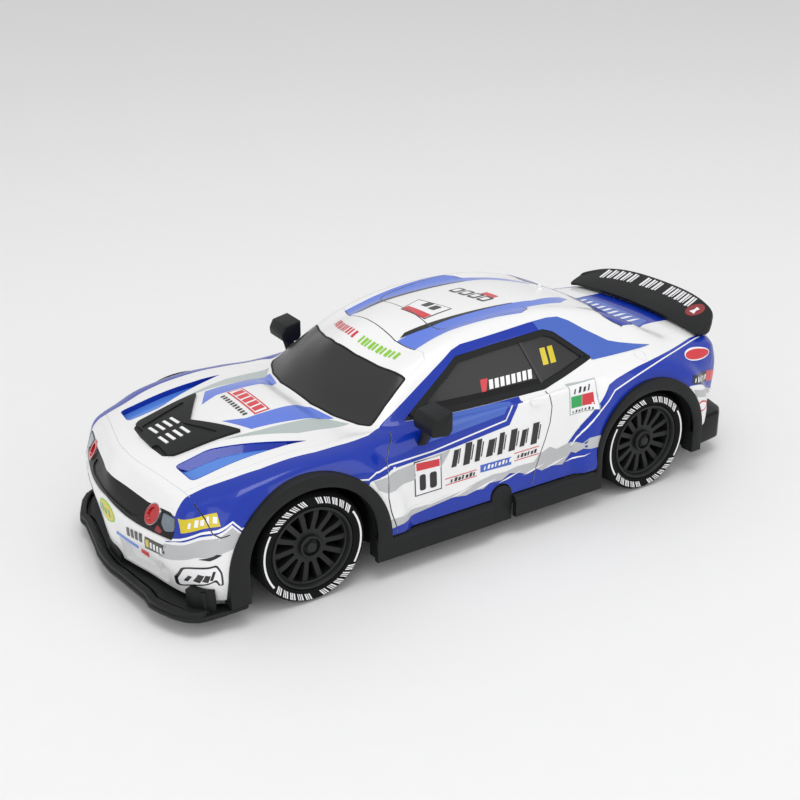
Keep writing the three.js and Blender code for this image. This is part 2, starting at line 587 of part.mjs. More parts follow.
// An open-topped box around one axle, with holes for the axle and for the shaft from mid car.
function gearbox(axleX) {
  const { halfLength, halfWidth, top, wall } = GEARBOX;
  const crate = (inset, bottom, height) => box(axleX - halfLength + inset, axleX + halfLength - inset,
    -halfWidth + inset, halfWidth - inset, bottom, height);
  const outside = crate(0, PLATE_TOP + GAP, top);
  const inside = crate(wall, PLATE_TOP + GAP + wall, top + 1);
  const axleHole = rod('y', SHAFT_RADIUS + 0.5, -20, 20, [axleX, AXLE_Z]);
  const towards = Math.sign(axleX);
  const wallX = axleX - towards * halfLength;
  const shaftHole = rod('x', SHAFT_RADIUS + 0.5, wallX - 3, wallX + 3, [0, AXLE_Z]);
  return cut(outside, inside, axleHole, shaftHole);
}
add(chassisGroup, 'front_gearbox', 'black', gearbox(AXLE_X));
add(chassisGroup, 'rear_gearbox', 'black', gearbox(-AXLE_X));

function topDeck() {
  const { halfLength, halfWidth, top } = GEARBOX;
  const end = AXLE_X + halfLength;
  const inner = AXLE_X - halfLength;
  const half = [[end, 0], [end, halfWidth], [inner, halfWidth], [inner - 8, 5.5], [-inner + 8, 5.5],
    [-inner, halfWidth], [-end, halfWidth], [-end, 0]];
  const holes = [-42, -14, 14, 42].map((x) => circle(x, 0, 3.4, 16));
  return prism('z', wholePlan(half), top + GAP, top + GAP + 2, holes);
}
add(chassisGroup, 'top_deck', 'black', topDeck());

// Arms that reach from the front gearbox to the upper and lower ends of the kingpin.
function frontArm() {
  const half = [[7, GEARBOX.halfWidth + GAP], [5, 36], [5, KINGPIN_Y + 1.4], [3, KINGPIN_Y + 3.6]];
  const plan = [...half, ...half.map(([x, y]) => [-x, y]).reverse()].map(([x, y]) => [AXLE_X + x, y]);
  const hole = [circle(AXLE_X, KINGPIN_Y, 1.8, 16)];
  const web = box(AXLE_X - 7, AXLE_X + 7, GEARBOX.halfWidth + GAP, GEARBOX.halfWidth + 3, 12, 36);
  const arms = union(prism('z', plan, 12, 15.4, hole), prism('z', plan, 32.6, 36, hole), web);
  return cut(arms, rod('y', SHAFT_RADIUS + 0.6, 5, 30, [AXLE_X, AXLE_Z]));
}
addPair(chassisGroup, 'front_arm', 'black', frontArm());

function rearAxleTube() {
  const inner = GEARBOX.halfWidth + GAP;
  const bore = SHAFT_RADIUS + 0.4;
  const profile = [[bore, inner], [7.5, inner], [7.5, inner + 3], [5, inner + 5], [5, 40.6], [bore, 40.6]];
  const tube = turned(profile, [-AXLE_X, AXLE_Z], 1, 16);
  return union(tube, box(-AXLE_X - 3, -AXLE_X + 3, 24, 32, PLATE_TOP + GAP, AXLE_Z - 4));
}
addPair(chassisGroup, 'rear_axle_tube', 'black', rearAxleTube());

function sideCatch() {
  const { rear, front, top } = SILL_NOTCH;
  const radius = (front - rear) / 2 - 0.5;
  const middle = (front + rear) / 2;
  const lug = union(rod('y', radius, 50.4, 62, [middle, top - 0.5 - radius], 20),
    box(middle - radius, middle + radius, 50.4, 62, PLATE_BOTTOM, top - 0.5 - radius));
  return cut(lug, rod('y', 1.8, 45, 70, [middle, 17], 16));
}
addPair(chassisGroup, 'side_catch', 'black', sideCatch());

add(chassisGroup, 'front_body_post', 'black', rod('z', 3, PLATE_TOP + GAP, 57, [109, 0], 16));
add(chassisGroup, 'rear_body_post', 'black', rod('z', 3, PLATE_TOP + GAP, 61.5, [-112, 0], 16));

// ---- battery, motor, servo and electronics --------------------------------------------------------
const MOTOR_SPACING = (GEAR_MODULE * (SPUR_TEETH.wheel + SPUR_TEETH.pinion)) / 2;
const MOTOR_LEAN = THREE.MathUtils.degToRad(MOTOR.lean);
const MOTOR_AXIS = [-MOTOR_SPACING * Math.cos(MOTOR_LEAN), AXLE_Z + MOTOR_SPACING * Math.sin(MOTOR_LEAN)];
const SPUR_X = [-24, -19];

const pack = box(BAY.rear + 0.5, BAY.front - 0.5, BAY.inner + 0.4, BAY.outer - 0.4, DOOR.top + GAP, 31);
add(chassisGroup, 'battery_pack', 'battery', pack);

function motor() {
  const { radius, rear, front } = MOTOR;
  const can = rod('x', radius, rear + 5, front, MOTOR_AXIS, 24);
  const endBell = rod('x', radius - 1.6, rear, rear + 6, MOTOR_AXIS, 20);
  const boss = rod('x', 4.4, front - 1, front + 2.2, MOTOR_AXIS, 20);
  return cut(union(can, endBell, boss), rod('x', 1.5, front - 7, front + 5, MOTOR_AXIS, 16));
}
add(chassisGroup, 'motor', 'steel', motor());

function motorMount() {
  const [y, z] = MOTOR_AXIS;
  const plate = box(MOTOR.front + GAP, MOTOR.front + 2.4, y - 14.5, -6, PLATE_TOP + GAP, z + 12);
  return cut(plate, rod('x', 4.8, MOTOR.front - 5, MOTOR.front + 5, MOTOR_AXIS, 20));
}
add(chassisGroup, 'motor_mount', 'steel', motorMount());

function servo() {
  const body = box(38, 60, HORN.y - 6, HORN.y + 6, 14, 37);
  const ears = box(53, 55, HORN.y - 6, HORN.y + 6, PLATE_TOP + GAP, 41);
  const foot = box(40, 58, HORN.y - 5, HORN.y + 5, PLATE_TOP + GAP, 15);
  return union(body, ears, foot, rod('x', 2.4, 59, 62.2, [HORN.y, HORN.z]));
}
add(chassisGroup, 'servo', 'black', servo());

function receiverCase() {
  const outside = box(-12, 34, -46, -20, PLATE_TOP + GAP, 26);
  return cut(outside, box(-10.6, 32.6, -44.6, -21.4, PLATE_TOP + GAP + 1.4, 30));
}
add(chassisGroup, 'receiver_case', 'black', receiverCase());

function circuitBoard() {
  const board = box(-10, 32, -44, -22, 20, 21.6);
  const corners = [[-8, -42], [30, -42], [-8, -24], [30, -24]];
  const legs = corners.map((corner) => rod('z', 1.4, 12.1, 20.5, corner, 12));
  const chips = [box(-6, 4, -40, -30, 21, 23.4), box(10, 17, -41, -34, 21, 23), box(8, 28, -29, -24, 21, 25)];
  const capacitors = [22, 28].map((x) => rod('z', 2.6, 21, 29, [x, -36], 16));
  return union(board, ...legs, ...chips, ...capacitors);
}
add(chassisGroup, 'circuit_board', 'board', circuitBoard());

// ---- drive line -----------------------------------------------------------------------------------
// Straight-sided teeth; the first tooth points along the angle given, in the y-z plane.
function gearOutline(teeth, first, centre, module = GEAR_MODULE) {
  const pitch = (2 * Math.PI) / teeth;
  const pitchRadius = (module * teeth) / 2;
  const root = pitchRadius - 0.8 * module;
  const tip = pitchRadius + 0.6 * module;
  const corners = [[-0.24, root], [-0.12, tip], [0.12, tip], [0.24, root]];
  return Array.from({ length: teeth }, (_, k) => corners.map(([share, radius]) => {
    const angle = first + (k + share) * pitch;
    return [centre[0] + radius * Math.cos(angle), centre[1] + radius * Math.sin(angle)];
  })).flat();
}

const towardsMotor = Math.PI - MOTOR_LEAN;
const spurPitch = (2 * Math.PI) / SPUR_TEETH.wheel;
const spurOutline = gearOutline(SPUR_TEETH.wheel, towardsMotor + spurPitch / 2, [0, AXLE_Z]);
const spurHole = circle(0, AXLE_Z, SHAFT_RADIUS + GAP, 20);
const pinionOutline = gearOutline(SPUR_TEETH.pinion, towardsMotor + Math.PI, MOTOR_AXIS);

add(chassisGroup, 'spur_gear', 'gear', prism('x', spurOutline, ...SPUR_X, [spurHole]));
add(chassisGroup, 'motor_pinion', 'brass', union(prism('x', pinionOutline, ...SPUR_X),
  rod('x', 1.1, MOTOR.front - 6, SPUR_X[0] + 1, MOTOR_AXIS, 16)));

const BEVEL = { near: 7.7, far: 11.2, pinionTip: 4.3, pinionRoot: 3.2, toothBase: 5.2, toothTip: 3.8 };

// Pinion on a shaft end beside an axle; its teeth stand out from the root by the tooth depth.
function bevelPinion(axleX) {
  const towards = -Math.sign(axleX);
  const from = axleX + towards * BEVEL.near;
  const to = axleX + towards * BEVEL.far;
  const pitch = (2 * Math.PI) / BEVEL_TEETH.pinion;
  const corners = [[-0.2, BEVEL.pinionRoot], [-0.12, BEVEL.pinionTip], [0.12, BEVEL.pinionTip],
    [0.2, BEVEL.pinionRoot]];
  const outline = Array.from({ length: BEVEL_TEETH.pinion }, (_, k) => corners.map(([share, radius]) => {
    const angle = (k + share) * pitch;
    return [radius * Math.cos(angle), AXLE_Z + radius * Math.sin(angle)];
  })).flat();
  return prism('x', outline, Math.min(from, to), Math.max(from, to));
}

function driveShaft() {
  const end = AXLE_X - BEVEL.far + 1;
  return union(rod('x', SHAFT_RADIUS, -end, end, [0, AXLE_Z]), bevelPinion(AXLE_X), bevelPinion(-AXLE_X));
}
add(chassisGroup, 'drive_shaft', 'steel', driveShaft());

// Disc with a crown of teeth that meets a bevel pinion; side is the way its teeth face away from.
function crownGear(axleX, side) {
  const disc = rod('y', BEVEL.far + 0.3, side > 0 ? BEVEL.toothBase : -BEVEL.toothBase - 2.4,
    side > 0 ? BEVEL.toothBase + 2.4 : -BEVEL.toothBase, [axleX, AXLE_Z], 20);
  const teeth = Array.from({ length: BEVEL_TEETH.ring }, (_, k) => {
    const angle = ((k + 0.5) * 2 * Math.PI) / BEVEL_TEETH.ring;
    const length = BEVEL.far - BEVEL.near + 0.3;
    const depth = BEVEL.toothBase - BEVEL.toothTip + 0.5;
    const tooth = new THREE.BoxGeometry(length, depth, 0.9);
    tooth.translate((BEVEL.far + BEVEL.near) / 2, side * (BEVEL.toothTip + depth / 2), 0);
    return toSolid(tooth.rotateY(angle).translate(axleX, 0, AXLE_Z));
  });
  return union(disc, ...teeth);
}

function rearAxle() {
  const shaft = rod('y', SHAFT_RADIUS, -60.6, 60.6, [-AXLE_X, AXLE_Z]);
  return union(shaft, crownGear(-AXLE_X, 1));
}

function frontAxle() {
  const shaft = rod('y', 1.3, -KINGPIN_Y, KINGPIN_Y, [AXLE_X, AXLE_Z], 12);
  const balls = [-1, 1].map((side) => {
    const ball = new THREE.SphereGeometry(2.4, 12, 8);
    return toSolid(ball.translate(AXLE_X, side * KINGPIN_Y, AXLE_Z));
  });
  return union(shaft, ...balls, crownGear(AXLE_X, -1));
}
add(chassisGroup, 'rear_axle', 'steel', rearAxle());
add(chassisGroup, 'front_axle', 'steel', frontAxle());

// ---- wheels ---------------------------------------------------------------------------------------
function tyre(axleX) {
  const [r, bead] = [TYRE_RADIUS, RIM_RADIUS + GAP];
  const profile = [[bead, WHEEL_INNER + 1], [r - 2.4, WHEEL_INNER], [r, WHEEL_INNER + 2.4],
    [r, WHEEL_OUTER - 2.4], [r - 2.4, WHEEL_OUTER], [bead, WHEEL_OUTER - 1]];
  return turned(profile, [axleX, AXLE_Z], 1, 32);
}

const RIM = { inner: 16.4, rear: WHEEL_INNER + 0.8, front: WHEEL_OUTER - 1.4 };
const SPOKE = { back: 55.5, front: 60.2, width: 1.7 };
const HUB = { radius: 4.8, back: 52 };
function rim(axleX) {
  const { inner, rear, front } = RIM;
  const centre = [axleX, AXLE_Z];
  const hoop = [[inner, rear], [RIM_RADIUS, rear], [RIM_RADIUS, front], [inner, front]];
  const spokes = Array.from({ length: SPOKES }, (_, k) => {
    const spoke = new THREE.BoxGeometry(inner - HUB.radius + 2, SPOKE.front - SPOKE.back, SPOKE.width);
    spoke.translate((inner + HUB.radius) / 2, (SPOKE.front + SPOKE.back) / 2, 0);
    return toSolid(spoke.rotateY((2 * Math.PI * k) / SPOKES).translate(axleX, 0, AXLE_Z));
  });
  const hubDisc = rod('y', HUB.radius, HUB.back, SPOKE.front, centre, 14);
  const recess = rod('y', 3.4, SPOKE.front - 1.6, SPOKE.front + 1, centre, 6);
  const bore = rod('y', SHAFT_RADIUS + GAP, 40, 70, centre, 12);
  return cut(union(turned(hoop, centre, 1, 28), hubDisc, ...spokes), bore, recess);
}

[['front', AXLE_X], ['rear', -AXLE_X]].forEach(([end, axleX]) => {
  addPair(chassisGroup, `${end}_tyre`, 'rubber', tyre(axleX));
  addPair(chassisGroup, `${end}_rim`, 'rim', rim(axleX));
});

// ---- steering -------------------------------------------------------------------------------------
const ARM = { bottom: 18.5, top: 21 };

// Upright that turns on the kingpin; its arm points back to the pin of the steering link.
function knuckle() {
  const block = box(AXLE_X - 5, AXLE_X + 5, KINGPIN_Y - 3.4, KINGPIN_Y + 3.4, 16, 32);
  const kingpin = rod('z', 1.4, 12.4, 35.6, [AXLE_X, KINGPIN_Y], 16);
  const bore = rod('y', 3.9, 30, 60, [AXLE_X, AXLE_Z], 20);
  const offset = KINGPIN_Y - RACK.pinY;
  const arm = [[-3, -3.4], [-3, -0.4], [-12, -2.9], [-27.6, -2.9], [-27.6, -offset - 2.6],
    [-14, -offset - 2.6]];
  const plan = arm.map(([x, y]) => [AXLE_X + x, KINGPIN_Y + y]);
  const slot = rectangle(AXLE_X - 26, AXLE_X - 18.9, RACK.pinY - 1.4, RACK.pinY + 1.8);
  return cut(union(block, kingpin, prism('z', plan, ARM.bottom, ARM.top, [slot])), bore);
}
addPair(chassisGroup, 'knuckle', 'black', knuckle());

// Stub axle: a cup around the ball of the drive axle, and the spindle that carries the wheel.
function stubAxle() {
  const profile = [[3.5, 41], [3.5, 48.2], [SHAFT_RADIUS, 49.4], [SHAFT_RADIUS, 60.6], [0, 60.6], [0, 46.8],
    [2.9, 46.8], [2.9, 41]];
  return turned(profile, [AXLE_X, AXLE_Z], 1, 20);
}
addPair(chassisGroup, 'stub_axle', 'steel', stubAxle());

function steeringLink() {
  const bar = box(RACK.x - 1.5, RACK.x + 1.5, -RACK.pinY - 1.6, RACK.pinY + 1.6, RACK.bottom, RACK.top);
  const tab = box(RACK.x - 1, RACK.x + 1.4, HORN.y - 4, HORN.y + 4, RACK.bottom, 22.4);
  const pins = [-1, 1].map((side) => rod('z', RACK.pinRadius, RACK.top - 1, ARM.top + 1.4,
    [RACK.x, side * RACK.pinY], 16));
  const slot = box(RACK.x - 5, RACK.x + 5, HORN.y - 1.6, HORN.y + 1.6, 15.5, 20.6);
  return cut(union(bar, tab, ...pins), slot);
}
add(chassisGroup, 'steering_link', 'black', steeringLink());

function servoHorn() {
  const low = HORN.z - HORN.length;
  const outline = [[HORN.y - 3.4, HORN.z + 3.4], [HORN.y - 3.4, HORN.z - 2], [HORN.y - 1.8, low - 1.8],
    [HORN.y + 1.8, low - 1.8], [HORN.y + 3.4, HORN.z - 2], [HORN.y + 3.4, HORN.z + 3.4]];
  return union(prism('x', outline, 62.6, 64.4), rod('x', 1.2, 64, 67.8, [HORN.y, low], 16));
}
add(chassisGroup, 'servo_horn', 'gear', servoHorn());

// ---- battery door and power switch ----------------------------------------------------------------
function batteryDoor() {
  const door = box(DOOR.rear, DOOR.front, DOOR.inner, DOOR.outer, DOOR.bottom, DOOR.top);
  const grip = (x) => box(x, x + 1.2, DOOR.inner + 7, DOOR.outer - 7, DOOR.bottom - 1, DOOR.bottom + 0.5);
  const grips = [0, 1, 2, 3].map((k) => grip(DOOR.rear + 3 + 2.4 * k));
  return cut(door, ...grips);
}
add(chassisGroup, 'battery_door', 'black', batteryDoor());

function powerSwitch() {
  const [low, high] = [SWITCH.y - 2.2, SWITCH.y + 2.2];
  const knob = box(SWITCH.x - 4.7, SWITCH.x - 0.7, low, high, PLATE_BOTTOM - 0.8, 12.5);
  const slide = box(SWITCH.x - 6.5, SWITCH.x + 1.2, low, high, PLATE_TOP + GAP, 12.5);
  return union(knob, slide);
}
add(chassisGroup, 'power_switch', 'red', powerSwitch());

export default car;
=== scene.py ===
"""Looks of a 1:16 remote control race car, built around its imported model.

Shapes are worked out in millimetres and become metres when a piece is made. +X is the nose, +Y the
car's left and Z is up, with the origin on the ground at mid wheelbase.
"""
import math

import bmesh
import bpy
import numpy as np
from mathutils import Matrix, Vector
from mathutils.bvhtree import BVHTree


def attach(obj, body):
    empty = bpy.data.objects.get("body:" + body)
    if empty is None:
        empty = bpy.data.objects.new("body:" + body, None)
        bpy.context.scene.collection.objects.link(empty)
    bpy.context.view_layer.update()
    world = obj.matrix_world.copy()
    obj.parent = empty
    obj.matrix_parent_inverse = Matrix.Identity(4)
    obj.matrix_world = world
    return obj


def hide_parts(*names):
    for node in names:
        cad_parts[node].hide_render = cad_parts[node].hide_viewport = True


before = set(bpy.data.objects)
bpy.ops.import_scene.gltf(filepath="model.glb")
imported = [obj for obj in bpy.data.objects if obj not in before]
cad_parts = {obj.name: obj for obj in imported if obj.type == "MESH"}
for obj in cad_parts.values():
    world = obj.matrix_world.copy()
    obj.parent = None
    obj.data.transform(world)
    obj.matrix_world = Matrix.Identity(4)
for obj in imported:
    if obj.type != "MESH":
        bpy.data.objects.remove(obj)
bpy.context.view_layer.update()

# ---- driving dimensions ----
AXLE_X = 87.0
AXLE_Z = 24.0
SPOKES = 14
FLARE_OUTER = 64.7  # y of the flares' faces
FLARE_INNER = 57.6
ARCH_GAP = 28.0  # radius round the axle that the rails stay out of
WALL = 1.2  # thickness of the body shell
FILM = 0.07  # thickness of the printed livery film
FILM_LIFT = 0.02  # height of the lowest film over the paint
EDGE = 0.00025  # bevel of the chassis parts, in metres
BEVEL_ANGLE = math.radians(35)
# How far the outlines of each view are pushed, so that they pass through the skin.
NOSE_SPAN = (120, 160)
TAIL_SPAN = (-170, -120)
SCREEN_SPAN = (50, 95)
BONNET_SPAN = (40, 80)
TOP_SPAN = (40, 90)
DOOR_SPAN = (30, 75)
# Steps of the skin's grid between two stations, between two columns of the lid and down the wall.
ROW_STEPS = 7
COLUMN_STEPS = 5
WALL_STEPS = 8


# ---- body lines ----
def stations(text):
    """One station a line, with its points parted by commas."""
    return [[[float(v) for v in point.split()] for point in line.split(",")]
        for line in text.strip().splitlines()]


# The lid: stations from nose to tail, each from the shoulder in to the centre line.
LID = stations("""
135.6 50.5 47.6, 137.3 44 47, 138.9 35 46.6, 141.2 24 46.5, 143.8 12 46.9, 146.2 0 48
133.6 51.8 49.4, 135.2 45 49.7, 136.8 36 50, 139 25 50.6, 141 12.5 51.3, 142.4 0 51.9
129.5 53 51.2, 131.3 46 52.3, 133 36.5 53.6, 135 25.5 54.6, 136.6 13 55.2, 137 0 55.6
119 54.6 54, 120 47.5 55.4, 121 38 56.4, 122 27 57.2, 123 14 58, 123.5 0 58.2
104 55.2 57, 104 48.5 58.4, 104 39 59.4, 104 28 60.6, 104 15 61.9, 104 0 62.2
87 55.6 58.6, 87 49 60, 87 40 60.6, 87 29 61.8, 87 15.5 63.7, 87 0 64.2
70 55.4 58.2, 70 49 59.8, 70 41 60.2, 70 29 61.3, 71 15.5 63.9, 72 0 64.6
46 55.6 58.4, 47.5 49.6 59.8, 51 43.9 60, 57.5 27 61.2, 60.6 14 62, 61.2 0 62.2
31 56.4 59.2, 34 51.2 60.4, 39.4 42.2 67.3, 45.8 26.2 70.2, 49 13.6 71.6, 50.2 0 72.2
17 57 59.6, 20 52.6 60.9, 27.6 39.9 74.9, 33.2 25.4 77.6, 37.2 13.2 79.6, 39.8 0 81
3 57.4 59.8, 6 53.4 61.3, 11.5 38.9 81.6, 17.5 25 83, 23 13 85.2, 26.5 0 86.4
-10 57.8 60, -9 53.9 61.5, -5 37.7 85.4, 0 24.4 87, 4 12.6 88.6, 5 0 89.2
-27 58.2 60.1, -27 54.1 61.8, -26 37.2 86.7, -25 24 88.5, -25 12.4 89.5, -25 0 89.75
-42 58.4 60.2, -43 53.8 62.6, -50 37.3 85.6, -50 24 87.2, -50 12.4 88.3, -50 0 88.6
-61 58.2 60.4, -64 51.2 66.6, -73 37.8 81.2, -72 24.4 82.6, -72 12.6 83.5, -72 0 83.7
-84 57.2 60.4, -88 48.6 67.4, -94 38.2 73.4, -93 25 74.6, -93 12.8 75.3, -93 0 75.5
-108 55.8 59.8, -110 47.8 62.9, -112 38.8 64.2, -109.5 26 65, -108.5 13 65.4, -108 0 65.5
-122 54.2 59.2, -122.5 47 61.8, -123 38.6 63.1, -123 26 63.9, -123 13 64.3, -123 0 64.4
-133.5 52 58.6, -135 46 60.8, -136 37.6 62.2, -137.5 25.6 63, -138.6 13 63.5, -139 0 63.6
-138.5 49.4 57.4, -140.6 43.6 58.9, -142.4 35.6 59.9, -144.6 24.6 60.6, -146.2 12.4 61, -147 0 61.2""")
# The wall below the shoulder: bottom edge, middle and upper crease, from the nose round to the tail.
WALL_NOSE = stations("""
147 0 12, 149 0 24, 149.2 0 36
144.7 12.4 12, 147.2 12.4 24, 148.4 12.4 36
141.3 24.5 12, 144.4 24.6 24, 146.6 24.6 36
138.8 35.5 12, 141.8 35.8 24, 144 35.6 36
135.8 45.5 12, 139 45.6 24, 141.3 44.8 36.4
131.6 53 12, 134.8 52.6 24, 137.4 51.8 36.4
127.7 57.4 12, 130.4 56.6 24, 133 55.2 38
122.5 60.2 12.5, 124.5 59.6 25, 127.4 57.6 40
116 61.4 16, 117 60.8 28, 118 59.2 44""")
WALL_SIDE_STATIONS = [104, 87, 70, 46, 31, 17, 3, -10, -27, -42, -60, -84, -108]
WALL_TAIL = stations("""
-119.5 59.8 22.8, -121 59 33, -122 57.6 48
-128.5 55.2 23, -131.5 55.2 34, -133.8 54 48
-132.5 51.4 23, -136.4 51.6 34, -139 50.8 48
-136.4 44.5 23, -140 45 34, -142.4 44.6 48
-138.8 36 23, -142.2 36 34, -144.6 36 48
-141 24.8 23, -144.4 24.8 34, -146.8 24.8 48
-142.4 12.5 23, -145.8 12.5 34, -148.2 12.5 48
-143 0 23, -146.4 0 34, -148.8 0 48""")
ARCHES = [(87.8, 20.2, 36.3), (-88.2, 23.0, 32.2)]  # x, z and radius of each flare
ARCH_BULGE = (12.0, 3.3)  # width and height of the swelling round it


# ---- materials ----
def linear(hex_colour):
    """An sRGB colour such as 0x2747ba as linear red, green and blue."""
    parts = [(hex_colour >> shift & 255) / 255 for shift in (16, 8, 0)]
    return [c / 12.92 if c < 0.04045 else ((c + 0.055) / 1.055) ** 2.4 for c in parts]


def finish(name, colour, roughness, metallic=0.0, coat=0.0, grain=0.4, bump=0.1, tint=0.05, spread=0.05,
        patch=12.0, sheen=0.5):
    """A moulded, painted or printed surface: grain and patch are sizes in millimetres."""
    material = bpy.data.materials.new(name)
    material.use_nodes = True
    tree = material.node_tree
    nodes, links = tree.nodes, tree.links
    shader = nodes["Principled BSDF"]
    shader.inputs["Metallic"].default_value = metallic
    shader.inputs["Coat Weight"].default_value = coat
    shader.inputs["Coat Roughness"].default_value = 0.06
    shader.inputs["Specular IOR Level"].default_value = sheen
    place = nodes.new("ShaderNodeTexCoord").outputs["Object"]
    fine = noise(tree, place, 1000 / grain, 3)
    broad = noise(tree, place, 1000 / patch, 4)
    mix = nodes.new("ShaderNodeMix")
    mix.data_type = "RGBA"
    base = linear(colour)
    mix.inputs["A"].default_value = [c * (1 - tint) for c in base] + [1]
    mix.inputs["B"].default_value = [min(1.0, c * (1 + tint)) for c in base] + [1]
    links.new(broad, mix.inputs["Factor"])
    links.new(mix.outputs["Result"], shader.inputs["Base Color"])
    scale = nodes.new("ShaderNodeMapRange")
    scale.inputs["To Min"].default_value = max(0.02, roughness - spread)
    scale.inputs["To Max"].default_value = roughness + spread
    links.new(broad, scale.inputs["Value"])
    links.new(scale.outputs["Result"], shader.inputs["Roughness"])
    relief = nodes.new("ShaderNodeBump")
    relief.inputs["Strength"].default_value = bump
    relief.inputs["Distance"].default_value = 0.0001
    links.new(fine, relief.inputs["Height"])
    links.new(relief.outputs["Normal"], shader.inputs["Normal"])
    return material


def noise(tree, place, scale, detail):
    node = tree.nodes.new("ShaderNodeTexNoise")
    node.inputs["Scale"].default_value = scale
    node.inputs["Detail"].default_value = detail
    tree.links.new(place, node.inputs["Vector"])
    return node.outputs["Fac"]


PAINT = dict(roughness=0.32, coat=0.6, grain=2.2, bump=0.05, tint=0.015, spread=0.04, patch=40)
PRINT = dict(roughness=0.34, coat=0.55, grain=0.5, bump=0.06, tint=0.05, spread=0.05, patch=18,
    sheen=0.35)
PRINTED = {"band": ("mid_blue", 0x4064C0), "sky": ("light_blue", 0x5A7ADC),
    "azure": ("pale_blue", 0x4F86DF), "pin": ("white", 0xF4F4F6), "pearl": ("grey", 0xB4BFBD),
    "red": ("red", 0xD42A35), "wine": ("dark_red", 0x8E1620), "yellow": ("yellow", 0xD9C41C),
    "lime": ("lime", 0x8CCB2A), "green": ("green", 0x1FA552), "ink": ("black", 0x0F0F11)}
MATERIALS = {key: finish(f"livery_{name}", colour, **PRINT) for key, (name, colour) in PRINTED.items()}
MATERIALS |= {
    # painted, printed, moulded and metal surfaces that differ from the plain print
    "white": finish("shell_white_paint", 0xF1F1F1, **PAINT),
    "blue": finish("livery_blue", 0x0830A6, **(PRINT | {"sheen": 0.22})),
    "silver": finish("livery_silver", 0xBBBCBE, **(PRINT | {"tint": 0.14})),
    "glass": finish("smoked_window", 0x353536, 0.22, coat=0.1, grain=6, bump=0.02, spread=0.03,
        patch=30, sheen=0.2),
    "seal": finish("window_seal", 0x101011, 0.5, grain=0.3, bump=0.2, sheen=0.25),
    "plastic": finish("black_trim_plastic", 0x1D1E1F, 0.48, grain=0.35, bump=0.35, tint=0.12, patch=8,
        sheen=0.22),
    "satin": finish("grille_satin", 0x1B1B1C, 0.42, grain=0.35, bump=0.3, tint=0.1, sheen=0.25),
    "gloss": finish("gloss_black", 0x08080D, 0.2, coat=0.12, grain=3, bump=0.03, spread=0.03, sheen=0.15),
    "lamp": finish("lamp_lens", 0x74808A, 0.14, metallic=0.2, coat=0.6, grain=1.0, bump=0.3, tint=0.2,
        patch=3),
    "chrome": finish("lamp_chrome", 0xC8CDD2, 0.18, metallic=0.9, grain=1.5, bump=0.1, patch=4),
    "redlens": finish("red_lens", 0xB80E18, 0.14, coat=0.7, grain=1.0, bump=0.15, tint=0.15, patch=3),
    "rubber": finish("tyre_rubber", 0x0D0E0F, 0.72, grain=0.25, bump=0.5, tint=0.18, spread=0.08,
        patch=5, sheen=0.15),
    "rim": finish("wheel_satin_grey", 0x1E1F20, 0.46, grain=0.3, bump=0.25, tint=0.1, patch=6, sheen=0.3),
    "steel": finish("bright_steel", 0xB4B8BC, 0.3, metallic=1.0, grain=0.2, bump=0.25, tint=0.08, patch=3),
    "brass": finish("brass", 0xB8974A, 0.34, metallic=1.0, grain=0.2, bump=0.25, tint=0.1, patch=3),
    "nylon": finish("nylon_gear", 0xE0DACB, 0.5, grain=0.4, bump=0.25, tint=0.05, patch=4),
    "chassis": finish("chassis_plastic", 0x1A1B1C, 0.52, grain=0.3, bump=0.5, tint=0.15, patch=9,
        sheen=0.3),
    "board": finish("circuit_board", 0x1A6138, 0.45, coat=0.2, grain=1.1, bump=0.5, tint=0.25, patch=2.2),
    "wrap": finish("battery_wrap", 0x2457A8, 0.3, coat=0.4, grain=2.5, bump=0.3, tint=0.08, patch=14),
    "switch": finish("switch_red", 0xC22B2B, 0.42, grain=0.3, bump=0.25),
}


# The slot of each material; all others are on the painted shell.
SLOTS = {"glass": "smoked_window", "satin": "satin_grille", "redlens": "red_lens", "wine": "red_lens",
    "chrome": "lamp_lens", "lamp": "lamp_lens", "rim": "wheel_plastic", "rubber": "tyre_rubber",
    **dict.fromkeys(("ink", "seal", "plastic", "gloss"), "black_trim")}


# ---- mesh tools ----
def linked(name, data):
    """A new object in the scene."""
    obj = bpy.data.objects.new(name, data)
    bpy.context.scene.collection.objects.link(obj)
    return obj


def closed_mesh(points, faces):
    """A closed mesh with its faces looking outwards."""
    mesh = bpy.data.meshes.new("part")
    mesh.from_pydata([tuple(map(float, p)) for p in points], [], [tuple(map(int, f)) for f in faces])
    bm = bmesh.new()
    bm.from_mesh(mesh)
    bmesh.ops.recalc_face_normals(bm, faces=bm.faces)
    bm.to_mesh(mesh)
    bm.free()
    return mesh


def combined(first, second, operation):
    """Boolean of two closed meshes: UNION, DIFFERENCE or INTERSECT."""
    target, tool = linked("boolean_target", first), linked("boolean_tool", second)
    modifier = target.modifiers.new("boolean", "BOOLEAN")
    modifier.solver = "MANIFOLD"
    modifier.operation = operation
    modifier.object = tool
    result = bpy.data.meshes.new_from_object(target.evaluated_get(bpy.context.evaluated_depsgraph_get()))
    for obj in (target, tool):
        bpy.data.objects.remove(obj)
    return result


def cut(mesh, *tools):
    for tool in tools:
        mesh = combined(mesh, tool, "DIFFERENCE")
    return mesh


def union(mesh, *others):
    for other in others:
        mesh = combined(mesh, other, "UNION")
    return mesh


def repeated(outline, count, da, db=0.0):
    """Copies of an outline, each moved on by (da, db)."""
    return [[(a + da * k, b + db * k) for a, b in outline] for k in range(count)]


def mirrored(mesh):
    copy = mesh.copy()
    copy.transform(Matrix.Scale(-1, 4, (0, 1, 0)))
    copy.flip_normals()
    return copy


def both_sides(outline):
    """The left half of an outline seen from the front, completed by its mirror image."""
    return [*outline, *[(-a, b) for a, b in reversed(outline) if a]]


